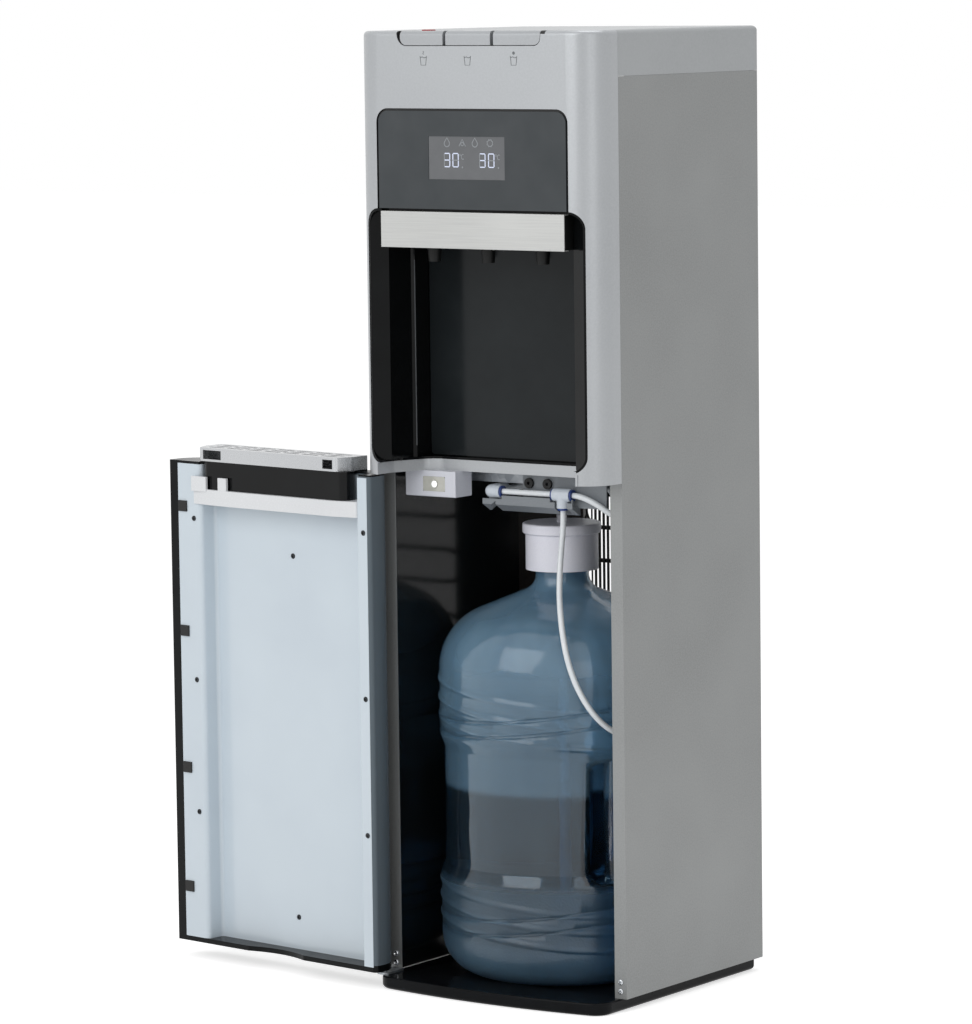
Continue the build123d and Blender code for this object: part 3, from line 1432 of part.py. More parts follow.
with BuildPart() as water_tubes:
    with BuildSketch(facing_side(elbow_end_x - socket_depth + contact_gap)):
        with Locations((pipe_y, pipe_z)):
            Circle(tube_r)
    extrude(amount=tee_left_x - elbow_end_x + 2 * socket_depth - 2 * contact_gap)
    with BuildLine() as riser_path:
        FilletPolyline(
            (elbow_x, pipe_y + elbow_leg - socket_depth + contact_gap, pipe_z),
            (elbow_x, riser_rear_y, pipe_z),
            (elbow_x, riser_rear_y, deck_top_z + jacket_wall),
            radius=18.0,
        )
    with BuildSketch(Plane(origin=riser_path.wire() @ 0, z_dir=riser_path.wire() % 0)):
        Circle(tube_r)
    sweep(path=riser_path.wire())

with BuildPart() as feed_tube:
    feed_x, feed_y = feed_top
    feed_points = [
        (tee_right_x - socket_depth + contact_gap, pipe_y, pipe_z),
        *[(inner_x - a, pipe_y + b, pipe_z - c) for a, b, c in feed_bends],
        (feed_x, feed_y, pipe_z - 2),
        (feed_x, feed_y, riser_end_z),
    ]
    with BuildLine() as feed_path:
        FilletPolyline(*feed_points, radius=bend_radii(feed_points))
    with BuildSketch(Plane(origin=feed_path.wire() @ 0, z_dir=feed_path.wire() % 0)):
        Circle(tube_r)
    sweep(path=feed_path.wire())

# ---------------------------------------------------------------- lamp under the head
with BuildPart() as lamp_housing:
    with BuildSketch(level(lamp_bottom_z)):
        with Locations((lamp_left_x, lamp_front_y)):
            Rectangle(lamp_width, lamp_depth, align=(Align.MIN, Align.MIN))
    extrude(amount=head_bottom_z - lamp_bottom_z)
    fillet(lamp_housing.faces().sort_by(Axis.Z)[0].edges(), 1.5)
    with BuildSketch(facing_front(lamp_front_y + lens_thickness)):
        with Locations((lens_x, lens_z)):
            Rectangle(lens_width + contact_gap, lens_height + contact_gap)
    extrude(amount=lens_thickness, mode=Mode.SUBTRACT)

with BuildPart() as lamp_lens:
    with BuildSketch(facing_front(lamp_front_y + lens_thickness)):
        with Locations((lens_x, lens_z)):
            RectangleRounded(lens_width, lens_height, 2)
    extrude(amount=lens_thickness)
    with BuildSketch(facing_front(lamp_front_y)):
        with Locations((lens_x, lens_z)):
            Circle(lens_dome_r)
    extrude(amount=1.5)

# ---------------------------------------------------------------- bottle


def bottle_profile(inset):
    """Draw the bottle's half outline, moved inwards by inset, from its axis to its open mouth."""
    low_z = floor_z + inset
    belly = bottle_radius - inset
    waist = waist_radius - inset
    neck = neck_radius - inset
    top_z = mouth_z if inset == 0 else mouth_z + 1
    with BuildSketch() as outline:
        with BuildLine():
            FilletPolyline(
                (0, low_z),
                (belly, low_z),
                (belly, lower_belly_z),
                (waist, waist_low_z),
                (waist, waist_high_z),
                (belly, upper_belly_z),
                (belly, shoulder_z - inset * 0.6),
                (neck, neck_base_z - inset * 0.6),
                (neck, top_z),
                radius=(
                    heel_radius - inset,
                    waist_fillet,
                    waist_fillet,
                    waist_fillet,
                    waist_fillet,
                    shoulder_radius - inset,
                    neck_fillet + inset,
                ),
            )
            Line((neck, top_z), (0, top_z))
            Line((0, top_z), (0, low_z))
        make_face()
    return outline.sketch


def grip_pocket(grow):
    """The moulded hand recess in the bottle's side, made larger by grow all round."""
    with BuildPart() as pocket:
        with BuildSketch(level(grip_low_z - grow)):
            with Locations((bottle_radius - grip_depth - grow, 0)):
                Rectangle(2 * grip_depth, grip_width + 2 * grow, align=(Align.MIN, Align.CENTER))
        extrude(amount=grip_high_z - grip_low_z + 2 * grow)
        fillet(pocket.edges().filter_by(Axis.X), grip_radius + grow)
    turned = pocket.part.rotate(Axis.Z, grip_direction)
    return turned.moved(Location((0, bottle_y, 0)))


bottle_centre = Plane(origin=(0, bottle_y, 0), x_dir=(1, 0, 0), z_dir=(0, -1, 0))
bottle_axis = Axis((0, bottle_y, 0), (0, 0, 1))

with BuildPart() as bottle_air:
    with BuildSketch(bottle_centre):
        add(bottle_profile(bottle_wall))
    revolve(axis=bottle_axis)
    add(grip_pocket(bottle_wall), mode=Mode.SUBTRACT)

with BuildPart() as bottle:
    with BuildSketch(bottle_centre):
        add(bottle_profile(0))
    revolve(axis=bottle_axis)
    for groove_z in groove_heights:
        groove_path_r = bottle_radius + groove_radius - groove_depth
        with Locations(Location((0, bottle_y, groove_z), (groove_tilt, -groove_tilt, 0))):
            Torus(groove_path_r, groove_radius, mode=Mode.SUBTRACT)
    add(grip_pocket(0), mode=Mode.SUBTRACT)
    add(bottle_air.part, mode=Mode.SUBTRACT)
    bar_reach = bottle_radius - grip_bar_inset
    bar_x = bar_reach * cos(radians(grip_direction))
    bar_y = bottle_y + bar_reach * sin(radians(grip_direction))
    with BuildSketch(level(grip_low_z - bottle_wall / 2)):
        with Locations((bar_x, bar_y)):
            Circle(grip_bar_radius)
    extrude(amount=grip_high_z - grip_low_z + bottle_wall)

# ---------------------------------------------------------------- probe cap and its tube
cap_inner_r = neck_radius + cap_bore_clearance
ceiling_z = mouth_z + cap_ceiling_gap

with BuildPart() as probe_cap:
    with BuildSketch(Plane(origin=(0, bottle_y, 0), x_dir=(1, 0, 0), z_dir=(0, -1, 0))):
        with BuildLine():
            Polyline(
                (0, ceiling_z),
                (cap_inner_r, ceiling_z),
                (cap_inner_r, cap_bottom_z),
                (cap_radius, cap_bottom_z),
                (cap_radius, cap_rim_z),
                (cap_rim_radius, cap_rim_z),
                (cap_rim_radius, cap_top_z),
                (nipple_radius, cap_top_z),
                (nipple_radius, cap_top_z + nipple_height),
                (0, cap_top_z + nipple_height),
                (0, ceiling_z),
            )
        make_face()
    revolve(axis=bottle_axis)
    fillet(probe_cap.edges().filter_by(GeomType.CIRCLE).filter_by(lambda e: abs(e.radius - cap_rim_radius) < 0.01), 2.0)

with BuildPart() as probe_tube:
    with BuildSketch(level(floor_z + bottle_wall + probe_foot_gap)):
        with Locations((0, bottle_y)):
            Circle(probe_tube_r)
            Circle(probe_bore_r, mode=Mode.SUBTRACT)
    extrude(amount=ceiling_z - floor_z - bottle_wall - probe_foot_gap)
    with BuildSketch(level(floor_z + bottle_wall + probe_foot_gap)):
        with Locations((0, bottle_y)):
            Circle(strainer_r)
            Circle(probe_bore_r, mode=Mode.SUBTRACT)
    extrude(amount=strainer_height)

# ---------------------------------------------------------------- white probe hose

hose_radii = bend_radii(hose_points)
with BuildPart() as probe_hose:
    with BuildLine() as hose_path:
        FilletPolyline(*hose_points, radius=hose_radii)
    with BuildSketch(Plane(origin=hose_points[0], z_dir=hose_path.wire() % 0)):
        Circle(hose_r)
    sweep(path=hose_path.wire())
print("hose radii", [round(r, 1) for r in hose_radii])
print("hose length", round(hose_path.wire().length, 1))
section_volume = 3.14159265 * hose_r**2 * hose_path.wire().length
print("hose volume", round(probe_hose.part.volume, 1), "section times length", round(section_volume, 1))

# ---------------------------------------------------------------- door frame and steel front
# How far the bottle's rounded heel stands out at the height of the door's bottom wall.
heel_rise = floor_z + heel_radius - door_bottom_z - door_bottom_wall
heel_reach = (heel_radius**2 - heel_rise**2) ** 0.5

with BuildPart() as door_frame:
    with BuildSketch(level(door_bottom_z)):
        add(bowed_plan(door_half_width, head_front_y, door_rear_y, head_corner_radius))
    extrude(amount=door_height)
    # the rear edge beside the hinge is rounded so that it clears the cabinet's screws as it turns
    rear_edges = door_frame.edges().filter_by(Axis.Z).group_by(Axis.Y)[-1]
    fillet(rear_edges.sort_by(Axis.X)[0], door_edge_radius)
    # the bottom wall is scooped out where the bottle's heel comes forward
    with BuildSketch(level(door_bottom_z)):
        with Locations((0, bottle_y)):
            Circle(bottle_radius - heel_radius + heel_reach + heel_relief)
    extrude(amount=door_bottom_wall, mode=Mode.SUBTRACT)
    cavity_width = free_stile_x - hinge_stile_x
    with BuildSketch(level(door_bottom_z + door_bottom_wall)):
        with Locations((hinge_stile_x, door_skin_y)):
            Rectangle(cavity_width, door_rear_y - door_skin_y, align=(Align.MIN, Align.MIN))
    extrude(amount=door_height - door_bottom_wall - door_wall, mode=Mode.SUBTRACT)
    # rebate for the liner's hinge-side flange, and the tray's way out through the top
    with BuildSketch(level(door_bottom_z + door_bottom_wall)):
        with Locations((liner_left_x - contact_gap, door_rear_y)):
            Rectangle(
                hinge_stile_x - liner_left_x + contact_gap,
                liner_thickness + contact_gap,
                align=(Align.MIN, Align.MAX),
            )
    extrude(amount=door_height, mode=Mode.SUBTRACT)
    with BuildSketch(level(door_top_z - door_wall)):
        with Locations((recess_left_x - liner_thickness - contact_gap, door_rear_y)):
            Rectangle(
                recess_right_x - recess_left_x + 2 * liner_thickness + 2 * contact_gap,
                liner_recess + liner_thickness + contact_gap,
                align=(Align.MIN, Align.MAX),
            )
    extrude(amount=door_wall, mode=Mode.SUBTRACT)
    # bosses for the liner's screws
    for (boss_x, boss_z), boss_end in [(p, door_rear_y - liner_thickness) for p in flange_screws] + [
        (p, liner_back_y) for p in recess_screws
    ]:
        with BuildSketch(facing_front(boss_end)):
            with Locations((boss_x, boss_z)):
                Circle(door_boss_r)
                Circle(door_screw_r + contact_gap, mode=Mode.SUBTRACT)
        extrude(amount=boss_end - door_skin_y)
    for boss_x, boss_z in stile_screws:
        with BuildSketch(facing_front(door_rear_y)):
            with Locations((boss_x, boss_z)):
                Circle(door_screw_r + contact_gap)
        extrude(amount=screw_length + liner_thickness, mode=Mode.SUBTRACT)
    # pocket for the steel front, and the two hinge bores
    with BuildSketch(facing_front(head_front_y + steel_pocket)):
        with Locations((0, door_bottom_z + door_height / 2)):
            Rectangle(steel_width + contact_gap, door_height - 2 * steel_margin + contact_gap)
    extrude(amount=2 * steel_pocket, mode=Mode.SUBTRACT)
    for bore_z in (door_bottom_z, door_top_z - hinge_pin_depth):
        with BuildSketch(level(bore_z)):
            with Locations((hinge_x, hinge_y)):
                Circle(hinge_pin_r + hinge_fit)
        extrude(amount=hinge_pin_depth, mode=Mode.SUBTRACT)
door_frame.part = swing_open(door_frame.part)

with BuildPart() as door_steel_front:
    with BuildSketch(facing_front(head_front_y + steel_pocket)):
        with Locations((0, door_bottom_z + door_height / 2)):
            Rectangle(steel_width, door_height - 2 * steel_margin)
    extrude(amount=steel_thickness)
door_steel_front.part = swing_open(door_steel_front.part)

# ---------------------------------------------------------------- door liner, shelf, clips, screws
with BuildPart() as door_liner:
    mid = liner_thickness / 2
    with BuildSketch(level(door_bottom_z + door_bottom_wall)):
        with BuildLine():
            FilletPolyline(
                (liner_left_x, door_rear_y - mid),
                (recess_left_x - mid, door_rear_y - mid),
                (recess_left_x - mid, recess_floor_y - mid),
                (recess_right_x + mid, recess_floor_y - mid),
                (recess_right_x + mid, door_rear_y - mid),
                (liner_right_x, door_rear_y - mid),
                radius=(hinge_side_bend, liner_bend, liner_bend, liner_bend),
            )
        trace(line_width=liner_thickness)
    extrude(amount=door_height - door_bottom_wall - door_wall)
    for hole_x, hole_z in flange_screws + stile_screws + recess_screws:
        with BuildSketch(facing_front(door_rear_y)):
            with Locations((hole_x, hole_z)):
                Circle(door_screw_r + contact_gap)
        extrude(amount=liner_recess + 2 * liner_thickness, mode=Mode.SUBTRACT)
door_liner.part = swing_open(door_liner.part)

with BuildPart() as door_screws:
    for (at_x, at_z), seat_y in [(p, door_rear_y) for p in flange_screws + stile_screws] + [
        (p, recess_floor_y) for p in recess_screws
    ]:
        with BuildSketch(facing_front(seat_y)):
            with Locations((at_x, at_z)):
                Circle(door_screw_head_r)
        extrude(amount=-door_screw_head)
        with BuildSketch(facing_front(seat_y)):
            with Locations((at_x, at_z)):
                Circle(door_screw_r)
        extrude(amount=screw_length)
door_screws.part = swing_open(door_screws.part)

with BuildPart() as door_clips:
    for clip_z in door_clip_heights:
        with BuildSketch(facing_front(door_rear_y)):
            with Locations((clip_x, clip_z)):
                Rectangle(clip_size[0], clip_size[1])
        extrude(amount=-clip_size[2])
door_clips.part = swing_open(door_clips.part)


def shelf_plan():
    """Draw the tray shelf's plan: fixed to the recess floor, standing proud of the flanges."""
    left = recess_left_x + contact_gap
    right = recess_right_x - contact_gap
    near_left, near_right = shelf_flat
    foot_y = recess_floor_y + liner_bend
    wing_y = door_rear_y + contact_gap
    with BuildSketch() as outline:
        with BuildLine():
            FilletPolyline(
                (left + liner_bend, recess_floor_y),
                (left, foot_y),
                (left, door_rear_y),
                (near_left, shelf_front_y),
                (near_right, shelf_front_y),
                (shelf_wing_x, wing_y + shelf_wing_edge),
                radius=(3.0, 4.0, 30.0, 30.0),
            )
            Polyline(
                (shelf_wing_x, wing_y + shelf_wing_edge),
                (shelf_wing_x, wing_y),
                (right, wing_y),
                (right, foot_y),
                (right - liner_bend, recess_floor_y),
                (left + liner_bend, recess_floor_y),
            )
        make_face()
    return outline.sketch


with BuildPart() as tray_shelf:
    with BuildSketch(level(shelf_top_z - shelf_height)):
        add(shelf_plan())
    extrude(amount=shelf_height)
    with BuildSketch(level(shelf_top_z - shelf_height)):
        with BuildLine():
            inner_left = recess_left_x + contact_gap + shelf_wall
            inner_right = recess_right_x - contact_gap - shelf_wall
            Polyline(
                (inner_left, recess_floor_y + liner_bend),
                (inner_left, door_rear_y - shelf_wall),
                (shelf_flat[0], shelf_front_y - shelf_wall),
                (shelf_flat[1], shelf_front_y - shelf_wall),
                (inner_right, door_rear_y - shelf_wall),
                (inner_right, recess_floor_y + liner_bend),
                close=True,
            )
        make_face()
    extrude(amount=shelf_height - shelf_wall, mode=Mode.SUBTRACT)
    for peg_left, peg_right in peg_spans:
        with BuildSketch(level(shelf_top_z - shelf_wall)):
            with Locations((peg_left, shelf_front_y - peg_inset)):
                Rectangle(peg_right - peg_left, peg_thickness, align=(Align.MIN, Align.MAX))
        extrude(amount=peg_height + shelf_wall)
tray_shelf.part = swing_open(tray_shelf.part)

# ---------------------------------------------------------------- drip tray and grate
with BuildPart() as drip_tray:
    pan_width = tray_right_x - tray_left_x
    pan_depth = tray_rear_y - tray_front_y
    pan_centre = ((tray_left_x + tray_right_x) / 2, (tray_front_y + tray_rear_y) / 2)
    with BuildSketch(level(shelf_top_z)):
        with Locations(pan_centre):
            RectangleRounded(pan_width, pan_depth, tray_corner)
    extrude(amount=grate_bottom_z - shelf_top_z)
    with BuildSketch(level(door_top_z)):
        add(grate_plan())
    extrude(amount=rim_thickness)
    with BuildSketch(level(shelf_top_z + tray_wall)):
        with Locations(pan_centre):
            RectangleRounded(pan_width - 2 * tray_wall, pan_depth - 2 * tray_wall, tray_corner - tray_wall)
    extrude(amount=grate_bottom_z - shelf_top_z, mode=Mode.SUBTRACT)
drip_tray.part = swing_open(drip_tray.part)

with BuildPart() as drip_grate:
    with BuildSketch(level(grate_bottom_z)):
        add(grate_plan())
    extrude(amount=grate_height)
    with BuildSketch(level(grate_bottom_z)):
        add(grate_plan(grate_wall))
    extrude(amount=grate_height - grate_wall, mode=Mode.SUBTRACT)
    with BuildSketch(level(grate_bottom_z + grate_height - grate_wall)):
        with Locations((0, (grate_front_y + grate_rear_y) / 2)):
            with GridLocations(grate_pitch_x, grate_pitch_y, int(grate_slots_x), int(grate_slots_y)):
                SlotOverall(grate_slot_length, grate_slot_width)
    extrude(amount=grate_wall, mode=Mode.SUBTRACT)
    for window_left, window_right in grate_windows:
        with BuildSketch(facing_front(grate_rear_y)):
            with Locations((window_left, grate_bottom_z + grate_wall * 1.5)):
                Rectangle(window_right - window_left, grate_window_height, align=(Align.MIN, Align.MIN))
        extrude(amount=grate_wall, mode=Mode.SUBTRACT)
drip_grate.part = swing_open(drip_grate.part)

# ---------------------------------------------------------------- hinges fixed to the cabinet
with BuildPart() as hinge_brackets:
    # lower: a plate on the base with a pin that stands up into the door
    with BuildSketch(level(panel_bottom_z)):
        with Locations((hinge_x, hinge_y)):
            Circle(hinge_plate_width / 2)
        with Locations((hinge_x, (hinge_y + panel_front_y) / 2)):
            Rectangle(hinge_plate_width, panel_front_y - hinge_y - contact_gap)
    extrude(amount=hinge_plate)
    with BuildSketch(level(panel_bottom_z + hinge_plate)):
        with Locations((hinge_x, hinge_y)):
            Circle(hinge_pin_r)
    extrude(amount=door_bottom_z - panel_bottom_z - hinge_plate + hinge_pin_depth - thrust_gap)
    # upper: a headed pin dropped through the head's bottom plate into the door
    with BuildSketch(level(head_bottom_z + bottom_plate)):
        with Locations((hinge_x, hinge_y)):
            Circle(hinge_pin_head_r)
    extrude(amount=hinge_plate)
    with BuildSketch(level(door_top_z - hinge_pin_depth + thrust_gap)):
        with Locations((hinge_x, hinge_y)):
            Circle(hinge_pin_r)
    extrude(amount=head_bottom_z + bottom_plate - door_top_z + hinge_pin_depth - thrust_gap)

# ---------------------------------------------------------------- write the pieces
pieces = {
    "base_tray": base_tray,
    "side_panel_left": side_panel_left,
    "side_panel_right": side_panel_right,
    "cabinet_screws": cabinet_screws,
    "compartment_back": compartment_back,
    "condenser_coil": condenser_coil,
    "condenser_wires": condenser_wires,
    "condenser_clips": condenser_clips,
    "deck_plate": deck_plate,
    "head_shell": head_shell,
    "hot_button": hot_button,
    "room_button": room_button,
    "cold_button": cold_button,
    "child_lock_slider": child_lock_slider,
    "button_switches": button_switches,
    "display_fascia": display_fascia,
    "display_window": display_window,
    "display_board": display_board,
    "spout_bar": spout_bar,
    "nozzle_carrier": nozzle_carrier,
    "hot_nozzle": hot_nozzle,
    "room_nozzle": room_nozzle,
    "cold_nozzle": cold_nozzle,
    "alcove_liner": alcove_liner,
    "alcove_back_panel": alcove_back_panel,
    "top_cover": top_cover,
    "rear_panel": rear_panel,
    "heat_switch": heat_switch,
    "cool_switch": cool_switch,
    "drain_cap": drain_cap,
    "compressor": compressor,
    "compressor_mounts": compressor_mounts,
    "cold_tank": cold_tank,
    "cold_tank_jacket": cold_tank_jacket,
    "hot_tank": hot_tank,
    "refrigerant_lines": refrigerant_lines,
    "pump": pump,
    "dispense_valves": dispense_valves,
    "pump_bracket": pump_bracket,
    "pump_grommets": pump_grommets,
    "elbow_fitting": elbow_fitting,
    "tee_fitting": tee_fitting,
    "fitting_collars": fitting_collars,
    "water_tubes": water_tubes,
    "feed_tube": feed_tube,
    "lamp_housing": lamp_housing,
    "lamp_lens": lamp_lens,
    "bottle": bottle,
    "probe_cap": probe_cap,
    "probe_tube": probe_tube,
    "probe_hose": probe_hose,
    "door_frame": door_frame,
    "door_steel_front": door_steel_front,
    "door_liner": door_liner,
    "door_screws": door_screws,
    "door_clips": door_clips,
    "tray_shelf": tray_shelf,
    "drip_tray": drip_tray,
    "drip_grate": drip_grate,
    "hinge_brackets": hinge_brackets,
}
for name, piece in pieces.items():
    piece.part.label = name
    export_step(piece.part, f"parts/{name}.step")
print(len(pieces), "pieces written")
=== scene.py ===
"""Looks of a bottom load water cooler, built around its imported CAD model.

Metres, in the CAD model's frame: X to the viewer's right, Y to the back, Z up, origin on the floor under
the middle of the cabinet's width. Each class below is one sub-assembly: its fields hold the sizes, its
methods build what the CAD model leaves to this file and dress the CAD nodes with their finishes.
"""

from __future__ import annotations

import logging
import math
from collections.abc import Iterable
from dataclasses import dataclass, field
from enum import Enum

import bmesh
import bpy
from mathutils import Matrix, Vector
from mathutils.bvhtree import BVHTree

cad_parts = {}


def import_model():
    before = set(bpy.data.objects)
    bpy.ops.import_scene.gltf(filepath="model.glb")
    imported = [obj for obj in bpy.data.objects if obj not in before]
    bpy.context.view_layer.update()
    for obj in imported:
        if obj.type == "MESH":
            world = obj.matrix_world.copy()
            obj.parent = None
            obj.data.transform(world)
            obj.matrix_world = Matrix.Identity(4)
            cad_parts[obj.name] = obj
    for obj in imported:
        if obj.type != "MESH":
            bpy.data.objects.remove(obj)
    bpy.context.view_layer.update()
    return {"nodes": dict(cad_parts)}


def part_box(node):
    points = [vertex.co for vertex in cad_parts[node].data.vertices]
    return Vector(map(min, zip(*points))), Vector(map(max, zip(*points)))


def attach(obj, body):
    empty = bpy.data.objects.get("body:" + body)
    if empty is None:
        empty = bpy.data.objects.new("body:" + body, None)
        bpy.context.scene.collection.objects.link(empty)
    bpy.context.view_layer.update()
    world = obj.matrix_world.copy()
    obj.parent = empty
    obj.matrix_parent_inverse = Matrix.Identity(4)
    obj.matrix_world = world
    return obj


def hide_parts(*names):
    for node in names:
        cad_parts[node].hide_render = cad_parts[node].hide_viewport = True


MM = 0.001
MERGE_DISTANCE = 1e-6
LOG = logging.getLogger("water_cooler")
Nodes = dict[str, bpy.types.Object]
Socket = bpy.types.NodeSocket
Point2 = tuple[float, float]
Point3 = tuple[float, float, float]


# ------------------------------------------------------------ colour and nodes
def linear(colour: str) -> tuple[float, float, float, float]:
    """Turns a colour as it is seen into the one that Blender's shaders take.

    Args:
        colour: six hex digits of sRGB.
    Returns:
        linear red, green and blue, and an alpha of 1.
    """
    parts = [int(colour[i : i + 2], 16) / 255 for i in (0, 2, 4)]
    red, green, blue = (c / 12.92 if c <= 0.04045 else ((c + 0.055) / 1.055) ** 2.4 for c in parts)
    return (red, green, blue, 1.0)


def add(
    tree: bpy.types.NodeTree, kind: str, inputs: dict | None = None, **settings: object
) -> bpy.types.Node:
    """Adds one node to a tree.

    Args:
        tree: the node tree.
        kind: the node's Blender type.
        inputs: for each input's name or number, a value, or a socket to link to it.
        settings: the node's own properties.
    Returns:
        the new node.
    """
    node = tree.nodes.new(kind)
    for key, value in settings.items():
        setattr(node, key, value)
    for key, value in (inputs or {}).items():
        if isinstance(value, Socket):
            tree.links.new(value, node.inputs[key])
        else:
            node.inputs[key].default_value = value
    return node


def blank_material(name: str) -> tuple[bpy.types.Material, bpy.types.NodeTree, Socket]:
    """Starts a material.

    Args:
        name: its name.
    Returns:
        the material, its tree, and the point on the surface, in metres.
    """
    made = bpy.data.materials.new(name)
    made.use_nodes = True
    tree = made.node_tree
    tree.nodes.clear()
    return made, tree, add(tree, "ShaderNodeTexCoord").outputs["Object"]


def showing_ray(tree: bpy.types.NodeTree) -> Socket:
    """Tells the rays that show the surroundings from those that only light the object.

    Args:
        tree: the tree of the floor or the world.
    Returns:
        1 for a ray from the camera, off gloss or through glass, and else 0.
    """
    kinds = add(tree, "ShaderNodeLightPath").outputs
    shown = kinds["Is Camera Ray"]
    for kind in ("Is Glossy Ray", "Is Transmission Ray"):
        shown = add(tree, "ShaderNodeMath", {0: shown, 1: kinds[kind]}, operation="MAXIMUM").outputs[0]
    return shown


class Pattern(Enum):
    """What the fine detail of a surface comes from."""

    PEEL = "the orange peel of sprayed and baked paint"
    GRAIN = "the fine spark-eroded texture of a mould"
    BRUSHED = "straight lines of a brushing belt"
    SPANGLE = "crystals of a hot-dip zinc coat"
    CELLS = "the open cells of poured foam"
    SMEAR = "faint streaks of a polished moulding"


# How many octaves of noise each pattern has: paint flows smooth, and belts and sparks leave fine marks.
OCTAVES = {Pattern.PEEL: 1.0, Pattern.GRAIN: 3.0, Pattern.BRUSHED: 4.0, Pattern.SMEAR: 2.0}
OCTAVE_FALL = 0.55
DRIFT_OCTAVES = 2.0
TINT_SPAN = (0.1, 0.45)
ROUGH_SPAN = (0.25, 0.75)
BUMP_STRENGTH = 0.35
COAT_ROUGHNESS = 0.04


@dataclass(frozen=True)
class Zone:
    """A part of a piece that shows another colour, such as the painted shade in the gaps round the push
    buttons.

    Fields: low and high are its corners in millimetres, where x counts from the middle outwards if
    both_sides is set, and else as it is.
    """

    colour: str
    roughness: float
    low: Point3
    high: Point3
    both_sides: bool = True

    def mask(self, tree: bpy.types.NodeTree, place: Socket) -> Socket:
        """Tells the zone from the rest of the piece.

        Args:
            tree: the material's tree.
            place: the point on the surface, in metres.
        Returns:
            1 in the zone and 0 outside it.
        """
        axes = list(add(tree, "ShaderNodeSeparateXYZ", {0: place}).outputs)
        if self.both_sides:
            axes[0] = add(tree, "ShaderNodeMath", {0: axes[0]}, operation="ABSOLUTE").outputs[0]
        inside = None
        for axis, low, high in zip(axes, self.low, self.high):
            span = {0: axis, 1: (low + high) / 2 * MM, 2: (high - low) / 2 * MM}
            step = add(tree, "ShaderNodeMath", span, operation="COMPARE").outputs[0]
            if inside is not None:
                step = add(tree, "ShaderNodeMath", {0: inside, 1: step}, operation="MULTIPLY").outputs[0]
            inside = step
        return inside


